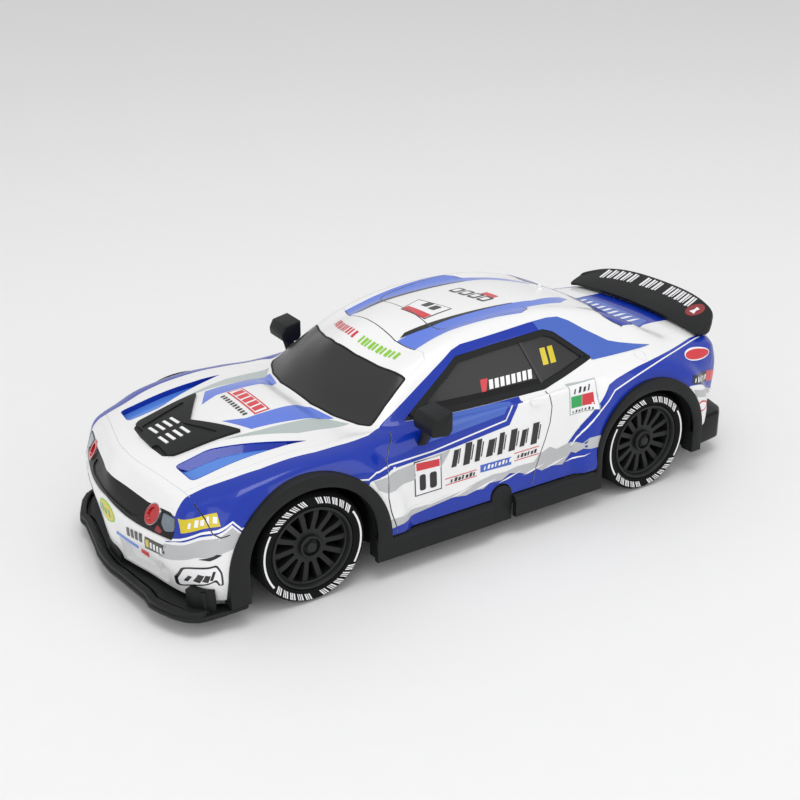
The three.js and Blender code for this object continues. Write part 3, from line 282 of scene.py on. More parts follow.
def whole_plan(outline):
    """The left half of a plan, completed by its mirror image."""
    return [*outline, *[(a, -b) for a, b in reversed(outline) if b]]


def rounded(outline, radius, steps=5):
    """The outline with its corners eased by arcs of about that radius."""
    points = np.array(outline, float)
    result = []
    for k, corner in enumerate(points):
        before, after = points[k - 1], points[(k + 1) % len(points)]
        reach = min(radius, 0.45 * np.linalg.norm(before - corner), 0.45 * np.linalg.norm(after - corner))
        start = corner + (before - corner) / np.linalg.norm(before - corner) * reach
        end = corner + (after - corner) / np.linalg.norm(after - corner) * reach
        for t in np.linspace(0, 1, steps):
            result.append(tuple((1 - t) ** 2 * start + 2 * t * (1 - t) * corner + t * t * end))
    return result


def grown(outline, amount):
    """The outline moved outwards by that amount, along the normals of its corners."""
    points = np.array(outline, float)
    ahead, behind = np.roll(points, -1, 0) - points, points - np.roll(points, 1, 0)
    area = np.sum(points[:, 0] * np.roll(points, -1, 0)[:, 1] - points[:, 1] * np.roll(points, -1, 0)[:,
        0])
    turn = np.array([[0, -1], [1, 0]]) * (1 if area > 0 else -1)
    normals = [edge / (np.linalg.norm(edge, axis=1)[:, None] + 1e-9) @ turn for edge in (ahead, behind)]
    middle = normals[0] + normals[1]
    length = np.maximum(np.linalg.norm(middle, axis=1), 0.8)
    return [tuple(p) for p in points + amount * 2 * middle / (length ** 2)[:, None]]


ROOT = math.sqrt(0.5)
AXES = {"z": lambda a, b, h: (a, b, h), "y": lambda a, b, h: (a, h, b), "x": lambda a, b, h: (h, a, b),
    "s": lambda a, b, h: (a, (h - b) * ROOT, (h + b) * ROOT)}


def prism(axis, outline, low, high):
    """An outline pushed along an axis: z takes (x, y), y takes (x, z), x takes (y, z) and s, which looks
    at the shoulder from 45 degrees above, takes (x, across)."""
    place, count = AXES[axis], len(outline)
    points = [place(a, b, low) for a, b in outline] + [place(a, b, high) for a, b in outline]
    sides = [(k, (k + 1) % count, (k + 1) % count + count, k + count) for k in range(count)]
    return closed_mesh(points, [range(count), range(2 * count - 1, count - 1, -1), *sides])


def circle(a, b, radius, steps=40, start=0.0, end=360.0):
    closed = end - start >= 360
    angles = np.radians(np.linspace(start, end, steps, endpoint=not closed))
    return [(a + radius * math.cos(t), b + radius * math.sin(t)) for t in angles]


def box(x0, x1, y0, y1, z0, z1):
    return prism("z", [(x0, y0), (x1, y0), (x1, y1), (x0, y1)], z0, z1)


def loft(rings):
    """A solid through rings with the same count of points, closed by its end rings."""
    count = len(rings[0])
    points = [p for ring in rings for p in ring]
    faces = []
    for r in range(len(rings) - 1):
        for k in range(count):
            a, b = r * count + k, r * count + (k + 1) % count
            faces.append((a, b, b + count, a + count))
    last = (len(rings) - 1) * count
    faces += [tuple(range(count)), tuple(range(last + count - 1, last - 1, -1))]
    return closed_mesh(points, faces)


def turned(profile, centre, steps, axis="y"):
    """A ring turned about an axle: the profile is a closed list of (radius, distance along the axle)."""
    angles = np.linspace(0, 2 * math.pi, steps, endpoint=False)
    place = AXES[axis]
    points = [place(centre[0] + r * math.cos(t), centre[1] + r * math.sin(t), d) for t in angles for r,
        d in profile]
    count = len(profile)
    faces = []
    for s in range(steps):
        here, there = s * count, (s + 1) % steps * count
        faces += [(here + k, here + (k + 1) % count, there + (k + 1) % count, there + k)
            for k in range(count)]
    return closed_mesh(points, faces)


def joined(meshes):
    """One mesh that holds several."""
    bm = bmesh.new()
    for mesh in meshes:
        bm.from_mesh(mesh)
    result = bpy.data.meshes.new("part")
    bm.to_mesh(result)
    bm.free()
    return result


def bevelled(obj, width):
    ease = obj.modifiers.new("bevel", "BEVEL")
    ease.width = width
    ease.segments = 2
    ease.limit_method = "ANGLE"
    ease.angle_limit = BEVEL_ANGLE
    return ease


def piece(name, mesh, material, body="shell", nodes=(), slot=None, bevel=0.0, angle=32):
    """Makes a piece of the car: it rides on a body, and stands for the nodes given."""
    mesh = mesh.copy()
    mesh.transform(Matrix.Scale(0.001, 4))
    mesh.materials.clear()
    mesh.materials.append(MATERIALS[material])
    for face in mesh.polygons:
        face.material_index = 0
        face.use_smooth = True
    mesh.set_sharp_from_angle(angle=math.radians(angle))
    obj = linked(name, mesh)
    if bevel:
        bevelled(obj, bevel * 0.001).harden_normals = True
    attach(obj, body)
    if nodes:
        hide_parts(*nodes)


def pair(name, mesh, material, body="shell", node=None, **options):
    """The left piece and its mirror image on the right; body and node may hold a {side} to fill in."""
    for side, shape in (("left", mesh), ("right", mirrored(mesh))):
        nodes = [node.format(side=side)] if node else ()
        piece(f"{name}_{side}", shape, material, body.format(side=side), nodes, **options)


# ---- body surface ----
def smooth_line(points, steps, mirror_start=False, mirror_end=False):
    """Samples of a smooth line through points, with that many steps in each stretch."""
    points = np.asarray(points, float)
    flip = np.array([1, -1, 1])
    before = points[1] * flip if mirror_start else 2 * points[0] - points[1]
    after = points[-2] * flip if mirror_end else 2 * points[-1] - points[-2]
    held = np.concatenate([before[None], points, after[None]])
    result = []
    for k, count in enumerate(np.broadcast_to(steps, len(points) - 1)):
        p0, p1, p2, p3 = held[k:k + 4]
        square, cube = 2 * p0 - 5 * p1 + 4 * p2 - p3, 3 * p1 - p0 - 3 * p2 + p3
        for t in np.arange(count) / count:
            result.append(0.5 * (2 * p1 + (p2 - p0) * t + square * t ** 2 + cube * t ** 3))
    return np.array(result + [points[-1]])


def wall_stations():
    """The wall's stations on the left half, from the nose's centre to the tail's."""
    side = []
    for x in WALL_SIDE_STATIONS:
        near_tail = max(0.0, -x - 60) / 48
        side.append([[x, 61.5, 19.5 + 2.5 * near_tail], [x, 60.2 + 0.6 * near_tail, 31], [x, 59.4, 48]])
    return np.array(WALL_NOSE + side + WALL_TAIL, float)


def bulge(points):
    """Pushes the wall out round the wheels, so that the fenders swell towards the flares."""
    width, height = ARCH_BULGE
    push = np.zeros(points.shape[:-1])
    for x, z, radius in ARCHES:
        distance = np.hypot(points[..., 0] - x, points[..., 2] - z)
        t = np.clip((radius + width - distance) / (0.5 * width), 0, 1)
        fade = np.clip((points[..., 2] - 12) / 10, 0, 1)
        push = np.maximum(push, height * t * t * (3 - 2 * t) * fade)
    result = points.copy()
    result[..., 1] += np.where(points[..., 1] < 40, 0, push)
    return result


def body_grids():
    """The lid and the wall below it, as grids of points on the left half of the car."""
    lid = smooth_line(np.array(LID, float), ROW_STEPS)
    lid = smooth_line(lid.swapaxes(0, 1), COLUMN_STEPS, mirror_end=True).swapaxes(0, 1)
    top = np.concatenate([lid[0][::-1], lid[1:, 0], lid[-1][1:]])
    stations = wall_stations()
    corner = len(LID[0]) - 1
    steps = [ROW_STEPS if corner <= k < len(stations) - 1 - corner else COLUMN_STEPS
        for k in range(len(stations) - 1)]
    lines = smooth_line(stations, steps, True, True)
    full = np.concatenate([lines, top[:, None]], axis=1)
    wall = smooth_line(full.swapaxes(0, 1), WALL_STEPS).swapaxes(0, 1)
    return bulge(lid), bulge(wall)


def shoulder_weight(shape, steps):
    """How much each grid point takes part in rounding the edge that the lid and the wall share."""
    rows, columns = np.meshgrid(np.arange(shape[0]), np.arange(shape[1]), indexing="ij")
    reach = [np.minimum(rows, shape[0] - 1 - rows) / steps[0], columns / steps[1]]
    return np.clip(1 - np.minimum(*reach), 0, 1)


def body_skin():
    """Points, quads, and for each quad whether it is part of the lid."""
    lid, wall = body_grids()
    wall_reach = (wall.shape[1] - 1 - np.arange(wall.shape[1])) / (0.7 * WALL_STEPS)
    weights = [shoulder_weight(lid.shape, (0.7 * ROW_STEPS, 0.7 * COLUMN_STEPS)),
        np.broadcast_to(np.clip(1 - wall_reach, 0, 1), wall.shape[:2])]
    points, quads, is_lid, weight, start = [], [], [], [], 0
    for side in (1, -1):
        for grid, share, flag in ((lid, weights[0], True), (wall, weights[1], False)):
            count = np.arange(grid.shape[0] * grid.shape[1]).reshape(grid.shape[:2]) + start
            ring = [count[:-1, :-1], count[1:, :-1], count[1:, 1:], count[:-1, 1:]]
            quad = np.stack(ring if side > 0 else ring[::-1], axis=-1).reshape(-1, 4)
            points.append((grid * [1, side, 1]).reshape(-1, 3))
            quads.append(quad)
            weight.append(share.reshape(-1))
            is_lid.append(np.full(len(quad), flag))
            start += grid.shape[0] * grid.shape[1]
    points, weight = np.concatenate(points), np.concatenate(weight)
    _, first, same = np.unique(np.round(points, 3), axis=0, return_index=True, return_inverse=True)
    quads = same.reshape(-1)[np.concatenate(quads)]
    return eased(points[first], quads, weight[first]), quads, np.concatenate(is_lid)


def eased(points, quads, weight, rounds=7):
    """Rounds the creases where weight is above zero."""
    ends = np.concatenate([quads[:, [k, (k + 1) % 4]] for k in range(4)])
    ends = np.unique(np.sort(ends, axis=1), axis=0)
    degree = np.bincount(ends.ravel(), minlength=len(points))[:, None]
    for _ in range(rounds):
        total = np.zeros_like(points)
        np.add.at(total, ends[:, 0], points[ends[:, 1]])
        np.add.at(total, ends[:, 1], points[ends[:, 0]])
        points = points + 0.5 * weight[:, None] * (total / degree - points)
    return points


SKIN_POINTS, SKIN_QUADS, QUAD_IS_LID = body_skin()


def skin_normals():
    a, b, c, d = (SKIN_POINTS[SKIN_QUADS[:, k]] for k in range(4))
    across = np.cross(c - a, d - b)
    total = np.zeros_like(SKIN_POINTS)
    for k in range(4):
        np.add.at(total, SKIN_QUADS[:, k], across)
    return total / np.linalg.norm(total, axis=1)[:, None]


SKIN_NORMALS = skin_normals()
SKIN_TREE = BVHTree.FromPolygons([Vector(p) for p in SKIN_POINTS], [tuple(map(int, q))
    for q in SKIN_QUADS])


def layer(high, low, part=None):
    """The closed layer between two heights over the skin; part keeps only the lid or only the wall."""
    quads = SKIN_QUADS
    if part:
        quads = quads[QUAD_IS_LID == (part == "lid")]
    used, local = np.unique(quads, return_inverse=True)
    quads = local.reshape(-1, 4)
    points = np.concatenate([SKIN_POINTS[used] + depth * SKIN_NORMALS[used] for depth in (high, low)])
    count = len(used)
    edges = {}
    for quad in quads.tolist():
        for k in range(4):
            edges[(quad[k], quad[(k + 1) % 4])] = True
    rim = [(a, b) for a, b in edges if (b, a) not in edges]
    walls = [(b, a, a + count, b + count) for a, b in rim]
    mesh = bpy.data.meshes.new("layer")
    mesh.from_pydata(points.tolist(), [], quads.tolist() + (quads[:, ::-1] + count).tolist() + walls)
    return mesh


def slab(axis, outline, span, high, low):
    """The part of a layer over the skin that lies inside an outline drawn in a view."""
    return combined(layer(high, low), prism(axis, outline, *span), "INTERSECT")


RAYS = {"z": (Vector((0, 0, 200)), Vector((0, 0, -1))), "y": (Vector((0, 200, 0)), Vector((0, -1, 0))),
    "x": (Vector((300, 0, 0)), Vector((-1, 0, 0)))}


def on_skin(axis, a, b):
    """Where a line along an axis meets the skin from outside, and the skin's direction there."""
    start, direction = RAYS[axis]
    offset = Vector(AXES[axis](a, b, 0))
    hit, normal, _, _ = SKIN_TREE.ray_cast(start + offset, direction)
    if hit is None:
        nearest = SKIN_TREE.find_nearest(offset + start * 0.25)
        return nearest[0], nearest[1]
    return hit, normal if normal.dot(direction) < 0 else -normal


def shoulder_line(*wall_line):
    """A line given in side view, as (x, across) for the shoulder's own view."""
    found = [on_skin("y", *p)[0] for p in wall_line]
    return [(p.x, (p.z - p.y) * ROOT) for p in found]


def along(axis, line, step=1.5):
    """Points and normals on the skin along a line that is drawn in a view."""
    found = []
    for (a0, b0), (a1, b1) in zip(line[:-1], line[1:]):
        count = max(1, round(math.hypot(a1 - a0, b1 - b0) / step))
        found += [on_skin(axis, a0 + (a1 - a0) * t / count, b0 + (b1 - b0) * t / count)
            for t in range(count)]
    return found + [on_skin(axis, *line[-1])]


def strip(path, section):
    """A solid that follows a path over the skin; section lists (sideways, outwards) offsets."""
    rings = []
    for k, (point, normal) in enumerate(path):
        forward = (path[min(k + 1, len(path) - 1)][0] - path[max(k - 1, 0)][0]).normalized()
        sideways = forward.cross(normal).normalized()
        rings.append([point + sideways * s + normal * o for s, o in section])
    return loft(rings)


# ---- outlines cut in the body ----
WINDSCREEN = rounded(whole_plan([(60.6, 0), (60.6, 14), (57.6, 28), (52.4, 40.4), (49.2, 44.6),
    (28.2, 39.4), (33.4, 25.4), (37.2, 13.2), (39.4, 0)]), 1.2)
SIDE_WINDOW = rounded([(36.6, 61.3), (22, 70.2), (5.4, 80.4), (-14, 81.7), (-41.4, 82.6), (-46.4, 80.8),
    (-62.4, 67.6), (-45, 63.4), (-32.7, 60.9), (12, 61)], 1.2)
BAND = rounded(both_sides([(0, 38.4), (9, 37.5), (17, 37), (28, 36.9), (37, 37.2), (44.4, 37.6),
    (48.2, 37.4), (48.9, 39.9), (48.2, 45.6), (44, 47.2), (37, 46.6), (28.7, 46), (19.5, 46.6),
    (10, 47.3), (0, 48)]), 1)
TAIL_PANEL = rounded(both_sides([(0, 45.6), (46, 45.6), (46, 55.6), (0, 57)]), 1.5)
SCOOP = rounded([(128, -15.6), (129, -6), (129, 6), (128, 15.6), (124.5, 19), (97, 22.6), (109.6, 0),
    (97, -22.6), (124.5, -19)], 0.8)
FOG = rounded([(9.5, 24.3), (18.6, 23.9), (24.3, 23.2), (27.7, 22.4), (31.2, 22.2), (36.2, 24.4),
    (40.4, 24.4), (41.9, 22.6), (40.8, 18.4), (39, 14.6), (37, 13), (9.5, 13)], 1.2)
CLIP_NOTCH = rounded([(-7.5, 5), (7.5, 5), (7.5, 14.5), (5, 17), (-5, 17), (-7.5, 14.5)], 1.5)
HOOD_RECESS = rounded([(127.4, 25.4), (125.9, 39.6), (112, 40), (84, 41.4), (76.5, 41.9), (80, 40.2),
    (96, 32.4), (112.4, 24.8)], 2.6)
HOOD_WEDGE = [(104.5, 23.6), (89.8, 25.7), (66, 26), (61.8, 26.2), (54.8, 37), (76.9, 34.4), (91, 28.6)]
SILL_NOTCH = (-10.9, 0.7, 25.4)


def arch_outline(arch, bottom, inset=0, steps=60):
    """A round top on straight legs, drawn from the side."""
    x, z, radius = arch
    arc = circle(x, z, radius - inset, steps, 0, 180)
    return [(x + radius - inset, bottom), *arc, (x - radius + inset, bottom)]


def sill_outline():
    """The arch-topped slot in the sill, drawn from the side."""
    rear, front, top = SILL_NOTCH
    radius, middle = (front - rear) / 2, (front + rear) / 2
    return arch_outline((middle, top - radius, radius), 0, 0, 24)


def side_tools():
    tools = [prism("y", SIDE_WINDOW, *DOOR_SPAN), prism("y", sill_outline(), 50, 75)]
    tools += [prism("y", arch_outline(arch, 0, 3, 72), 40, 80) for arch in ARCHES]
    return tools + [prism("z", HOOD_RECESS, *BONNET_SPAN), prism("x", FOG, *NOSE_SPAN)]


OPENINGS = [prism("z", WINDSCREEN, *SCREEN_SPAN), prism("x", BAND, *NOSE_SPAN),
    prism("x", TAIL_PANEL, *TAIL_SPAN), prism("x", CLIP_NOTCH, *NOSE_SPAN)]
for _tool in side_tools():
    OPENINGS += [_tool, mirrored(_tool)]

# Panel lines on both sides of the car, each with the view that it is drawn in.
MAIN_GAPS = [
    ("y", [(130.2, 51.6), (128.1, 46.8), (127.1, 41.8), (124.9, 40.6), (121.6, 41.2)]),
    ("y", [(44.4, 59.5), (48.2, 55.5), (50.4, 51), (52.2, 43), (52.4, 36.6), (51.4, 30), (49.8, 24),
        (49.4, 20.4)]),
    ("y", [(-32.4, 60.4), (-33.6, 54), (-32.4, 47), (-29.6, 39.4), (-24.6, 28.5), (-21.6, 20.4)]),
    ("y", [(-134.6, 60), (-136.6, 57.6), (-135.4, 52.2), (-132.6, 46.3), (-130.4, 36)]),
    ("z", [(21.9, 0), (21.1, 19.2), (17.9, 29.8)]),
    ("z", [(3.6, 0), (4.2, 19.6), (2, 25), (-2, 27), (-38, 31.2), (-41.6, 29.4), (-42.6, 24)]),
]
FINE_LINES = [
    ("z", [(137.7, 0), (137.5, 6), (136.8, 12), (134.8, 22.4), (132.7, 32.8), (130.9, 41.1),
        (129.9, 46.6)]),
    ("z", [(130.4, 42.4), (122.2, 43.8), (114.1, 45.2), (104.2, 46.6), (86, 47), (66, 47.4),
        (53.3, 43.4)]),
    ("z", [(17.9, 29.8), (16.6, 34.2), (18.1, 37.6), (27.6, 39.3)]),
    ("z", [(-96.5, 40.9), (-108.2, 41.1), (-129.8, 37.4)]),
]
GROOVE = [(-0.3, 0.6), (0.3, 0.6), (0.26, -0.15), (0, -0.62), (-0.26, -0.15)]
FINE_GROOVE = [(-0.17, 0.6), (0.17, 0.6), (0.13, -0.05), (0, -0.3), (-0.13, -0.05)]
SEAM = [(-0.28, -0.08), (0.28, -0.08), (0, -0.5)]


def swept(lines, section):
    """One section swept along lines on both sides of the car."""
    shapes = [strip(along(axis, line), section) for axis, line in lines]
    return shapes + [mirrored(shape) for shape in shapes]


GROOVES = swept(MAIN_GAPS, GROOVE) + swept(FINE_LINES, FINE_GROOVE)


def body_shell():
    return cut(layer(0, -WALL), *OPENINGS, *GROOVES)


piece("body_shell_skin", body_shell(), "white", nodes=["body_shell"], angle=38)
piece("panel_gaps", joined(swept(MAIN_GAPS, SEAM)), "ink")


def between(axis, outer, inner, span):
    """The space between two outlines drawn in a view."""
    return cut(prism(axis, outer, *span), prism(axis, inner, span[0] - 5, span[1] + 5))


def recess_parts(axis, outline, depth, span):
    """Floor and side walls of a pocket in the skin."""
    wide = grown(outline, 0.35)
    walls = between(axis, wide, grown(outline, -0.3), span)
    floor = slab(axis, wide, span, -depth, -depth - 0.8)
    return floor, combined(layer(-0.02, -depth - 0.8), walls, "INTERSECT")


def sloped_wall(top, foot, depth):
    """The slanting side of a bonnet pocket, from its upper edge down to its floor."""
    rings = []
    for (x0, y0), (x1, y1) in zip(top, foot):
        upper, lower = on_skin("z", x0, y0), on_skin("z", x1, y1)
        high, low = upper[0] - upper[1] * 0.05, lower[0] - lower[1] * depth
        rings.append([high, low, low - Vector((0, 0, 0.5)), high - Vector((0, 0, 0.9))])
    return loft(rings)


_floor, _walls = recess_parts("z", HOOD_RECESS, 2.4, BONNET_SPAN)
# The pale blue of the pocket floor is painted light: the floor faces up and is lit, while its walls keep
# the darker body blue.
pair("bonnet_pocket_floor", _floor, "azure")
pair("bonnet_pocket_wall", _walls, "blue")
POCKET_TOP = [(127.4, 26.4), (124, 25.2), (112.4, 24.8), (104, 28.6), (96, 32.4), (84, 38.2)]
POCKET_FOOT = [(123.4, 29.4), (121, 29.2), (111, 30.2), (104, 32.4), (96, 35.2), (85, 39.4)]
pair("bonnet_pocket_slope", sloped_wall(POCKET_TOP, POCKET_FOOT, 2.3), "blue")
_floor, _walls = recess_parts("x", FOG, 3.2, NOSE_SPAN)
pair("bumper_pocket_floor", _floor, "white")
pair("bumper_pocket_wall", _walls, "white")
NUBS = [[(31.8, 23), (34.8, 24.2), (34.8, 18.6), (31.8, 18.2)],
    [(38.6, 24.2), (40.8, 24.2), (41, 21), (38.8, 20.6)]]
_nubs = [slab("x", rounded(outline, 0.9), NOSE_SPAN, -0.9, -3.6) for outline in NUBS]
pair("bumper_pocket_nubs", joined(_nubs), "white")


# ---- windows ----
def pane_with_border(axis, outline, border, sink, span):
    """A pane set in its opening, and the flush black border round it."""
    glass = slab(axis, grown(outline, -border), span, -sink, -WALL)
    rim = between(axis, grown(outline, -0.1), grown(outline, -border), span)
    return glass, combined(layer(-0.05, -WALL), rim, "INTERSECT")


_glass, _border = pane_with_border("z", WINDSCREEN, 0.9, 0.1, SCREEN_SPAN)
piece("windscreen_pane", _glass, "glass", nodes=["windscreen"])
piece("windscreen_seal", _border, "seal")
_glass, _border = pane_with_border("y", SIDE_WINDOW, 2.4, 0.75, DOOR_SPAN)
pair("side_window_pane", _glass, "glass", node="side_window_{side}")
pair("side_window_seal", _border, "plastic", bevel=0.2)
pillar = strip(along("y", [(-27.8, 80.4), (-30.6, 71), (-32.8, 63.4)]), [(-0.7, -0.8), (-0.7, -0.4),
    (0.7, -0.4), (0.7, -0.8)])
pair("door_pillar", pillar, "ink")


def on_glass(outline):
    """A printed mark on the side window's glass."""
    return slab("y", outline, DOOR_SPAN, -0.69, -0.76)


_bars = repeated([(-6.4, 65.6), (-8.4, 65.6), (-9.4, 69), (-7.4, 69)], 8, -2.9)
pair("window_bars", joined(map(on_glass, _bars)), "pin")
pair("window_wedge", on_glass([(-2.4, 65.2), (-4.6, 65.2), (-7, 69.8), (-3.2, 69.8)]), "red")
_bars = [[(a, 69.2), (a - 3, 69.2), (a - 3.4, 75.6), (a - 0.6, 75.6)] for a in (-36.4, -40.6)]
pair("quarter_marks", joined(map(on_glass, _bars)), "yellow")
ledge = strip(along("y", [(30, 65.2), (18, 64.6), (-31.6, 64.2)]), [(-1.5, -0.8), (-1.2, -0.2),
    (1.5, -0.1), (1.5, -0.8)])
pair("window_ledge", ledge, "seal")


# ---- livery film ----
def base_film(part, level):
    """The film layer over the lid or the wall, with every opening and panel gap cut from it."""
    whole = layer(FILM_LIFT + FILM * (level + 1), FILM_LIFT + FILM * level, part)
    return cut(whole, *OPENINGS, *GROOVES)


FILMS = {(part, level): base_film(part, level) for part in ("lid", "wall") for level in range(3)}
SPANS = {"z": (30, 95), "y": (20, 80), "x": (90, 160), "s": (50, 105)}
prints = {}


def film(colour, part, axis, outline, level=0, sides=True):
    """A printed patch of the livery; sides adds its mirror image on the other side of the car."""
    patch = combined(FILMS[part, level], prism(axis, outline, *SPANS[axis]), "INTERSECT")
    prints.setdefault(colour, []).append(patch)
    if sides:
        prints[colour].append(mirrored(patch))


def side_film(colour, outline, level=0):
    film(colour, "wall", "y", outline, level)


def top_film(colour, outline, level=0, sides=True):
    film(colour, "lid", "z", outline, level, sides)


def nose_film(colour, outline, level, sides=True):
    film(colour, "wall", "x", outline, level, sides)


def line_film(colour, part, axis, line, width):
    """A printed line of constant width, one level above the lowest film."""
    half = width / 2
    points = np.array(line, float)
    forward = np.gradient(points, axis=0)
    forward /= np.linalg.norm(forward, axis=1)[:, None]
    normal = forward @ np.array([[0, 1], [-1, 0]])
    outline = [*map(tuple, points + normal * half), *map(tuple, (points - normal * half)[::-1])]
    film(colour, part, axis, outline, 1)


# fender, door band and rear fender
FENDER_LOW = [(141, 36.5), (139, 37.6), (136.3, 38.3), (131.2, 40.3), (126, 41.8), (123.2, 43.2),
    (120.3, 45), (117.2, 41.4), (112, 41)]
side_film("blue", [*FENDER_LOW, (88, 30), (64, 40), (60.5, 46.2), (51, 46.9), (18.6, 48.4), (-10.6, 51.2),
    (-18.6, 63), (60, 63), (100, 63), (139.4, 63), (139.4, 38.6), (141, 38)])
top_film("blue", [(141, 62), (139, 47.6), (134.4, 46.4), (131.2, 45.4), (122.9, 46.3), (112.5, 49.2),
    (102.5, 51), (90, 51.4), (79, 52.2), (64.6, 51.3), (53.4, 50), (48.6, 47.6), (46, 47.4), (40, 47.4),
    (12.8, 49.4), (-18.6, 52), (-18.6, 63), (60, 63)])
# the edge shared by the blue of the roof pillar and its rear end, which is painted lighter as painted
# light where the pillar faces up and back
PILLAR_EDGE = [(-46, 86), (-52, 85.3), (-57, 83), (-63.2, 78.8), (-74.8, 71.8), (-81, 69.8),
    (-88.8, 67.8), (-98, 65.6), (-88, 66.2), (-62.4, 66.9), (-48, 72)]
film("blue", "lid", "y", [(52, 59), (47, 60.2), (35.4, 66.6), (15.3, 77.7), (5.8, 82.6), (0.9, 84),
    (-16, 85), (-34.7, 85.9), *PILLAR_EDGE, (-30, 74), (0, 72), (20, 66), (33, 62.8), (38, 59.6)])
side_film("band", [(30, 53.6), (20, 54.2), (-8.4, 56.6), (-13.2, 63), (18, 63)], 1)
top_film("band", [(22, 63), (28, 53.4), (12.8, 52.4), (-13.4, 55.4), (-13.6, 63)], 1)
# The lighter mid blue over the rear of the roof pillar is painted light: it stands for the light on a
# surface that faces up and back.
film("band", "lid", "y", [(-38, 86), *PILLAR_EDGE, (-42, 76)], 1)
LINE_FRONT = [(141.5, 37.2), (139.1, 38.3), (136, 39.6), (130.8, 41.6), (125.6, 43), (122.8, 44.3),
    (119.8, 45.9), (117, 42.6), (111, 43.2)]
line_film("pin", "wall", "y", LINE_FRONT, 0.8)
line_film("pin", "wall", "y", [(65.5, 48.3), (61.2, 47.4), (57.4, 49.2), (50.6, 49), (28.3, 49.6),
    (-8.9, 53.7), (-14.4, 61.5)], 0.65)
side_film("silver", [(141.5, 35.4), (139.2, 36.2), (136.3, 37.1), (131.2, 39.1), (126, 40.6), (123.2, 42),
    (120.3, 43.8), (117.2, 40.2), (110, 39.8), (112, 34.4), (121.3, 35.4), (127.2, 33.7), (133, 32),
    (138.6, 29.4), (142, 27.2)])
side_film("silver", [(59, 46), (50.3, 45.6), (37.3, 46.6), (19.9, 48), (25, 41.4), (38.5, 39.3),
    (52.6, 38.9), (57, 41.5)])
REAR_EDGE = shoulder_line((-62.5, 54.4), (-64.8, 57.2)) + [(-68.7, -0.6), (-75.6, 0.8), (-82.6, 2.1),
    (-89.4, 3.1), (-97.3, 4.5), (-106.1, 6.3), (-115.5, 8.5), (-125.4, 11.1), (-131.8, 12)]
REAR_PIN = shoulder_line((-57.3, 46.2), (-62.8, 50.7), (-66.8, 54.6)) + [(-77.1, -2.5), (-83.8, -0.9),
    (-90.9, 0.8), (-99.4, 2.9), (-108.7, 5.2), (-118, 7.5), (-125.5, 9.4), (-132.5, 10.8)]
side_film("blue", [(-36.6, 31.2), (-41, 33.4), (-49, 41.2), (-55.9, 47.9), (-59.2, 51), (-62.5, 54.3),
    (-64, 55), (-143, 55), (-143, 47.4), (-131, 46.4), (-116, 48.4), (-108, 44), (-88, 34), (-64, 34),
    (-52, 28), (-45.6, 29)])
_first, _last = REAR_EDGE[0][1], REAR_EDGE[-1][1]
for _part in ("wall", "lid"):
    film("blue", _part, "s", [(-61, _first - 6), (-62, _first - 0.5), *REAR_EDGE, (-146, _last + 3),
        (-146, _first - 8)])
    line_film("pin", _part, "s", REAR_PIN, 0.6)
line_film("pin", "wall", "y", [(-43.4, 32.4), (-47.2, 36.5), (-57.6, 46.5)], 0.65)

# rocker and its torn silver edge
FLAG_TOP = [(53, 26.9), (28.7, 26.4), (14, 27.8), (7.3, 29.4), (-1.5, 30.7), (-8, 30.2), (-14.7, 31),
    (-23.7, 30.6), (-26, 33.2), (-32.3, 35.4), (-36, 33.4), (-43.9, 34.8), (-49, 33.6), (-52, 35.8),
    (-61, 35.4)]
FLAG_LOW = [(-61, 30.2), (-53, 30.4), (-49, 31.2), (-46, 29.2), (-44, 30), (-38.9, 25.4), (-33.1, 26.4),
    (-27.4, 25.6), (-24.5, 27.2), (-19.6, 26), (-15.5, 27.7), (-10.2, 29), (-6, 27), (0.5, 27.4),
    (4, 25.7), (7.5, 26.1), (13, 25.2), (19.4, 26.2), (32.9, 24.9), (53, 23)]
side_film("silver", [*FLAG_TOP, *FLAG_LOW], 1)
side_film("blue", [*FLAG_LOW, (53, 18), (-61, 18)])
for _x in (46, 33, 21, 9, -4, -17, -29, -40):
    side_film("pin", [(_x, 26.1), (_x - 6, 27.6), (_x - 12.5, 28.6), (_x - 5, 26.6)], 2)

# bonnet, roof and deck
top_film("sky", [(99.5, 10.2), (92.4, 23.2), (66, 25.6), (58, 29.6), (61.6, 15.8), (65.6, 13), (70, 14.2),
    (90.8, 14.6)])
# The grey film on this wedge of the bonnet is painted shade: it stands for a shallow sunken facet that the
# skin does not have.
top_film("pearl", HOOD_WEDGE)
top_film("sky", [(20.6, 20), (18.2, 30), (9.9, 29.4), (0.5, 29.4), (-36.4, 32.5), (-40.9, 30),
    (-44.9, 25.4), (-66.8, 21.6), (-76.6, 14.4), (-73.4, 12.8), (-52.7, 18.9), (-20, 19.4), (4.4, 19.6)])
# a thin black wedge along the inner edge of the roof stripe, tapering off towards the rear
top_film("ink", [(18.9, 19.4), (15.6, 17.8), (4.7, 18.2), (-41, 18.9), (-41, 19.3), (-4.3, 20.4),
    (5.6, 21)], 1)
top_film("blue", whole_plan([(-90, 0), (-88.5, 14), (-85, 23), (-79, 32.9), (-79.8, 37.3), (-83.4, 39.2),
    (-87.6, 40.7), (-96.1, 38.2), (-103, 32.6), (-110, 27.4), (-116.4, 24.4), (-124.2, 24.4),
    (-131.9, 24.8), (-133, 0)]), 0, False)
line_film("ink", "lid", "z", [(-86.4, 20), (-84.6, 23.6), (-78.6, 33), (-79.5, 37.6), (-83.2, 39.5),
    (-87.6, 41)], 0.4)
top_film("band", [(-104, -28), (-104, 28), (-121, 22), (-121, -22)], 1, False)
for _k in range(9):
    _y = -20 + 4.6 * _k
    top_film("pin", [(-110.6, _y), (-111, _y + 1.4), (-117.6 - 0.3 * _k, _y + 1.1), (-117, _y - 0.6)], 2,
        False)


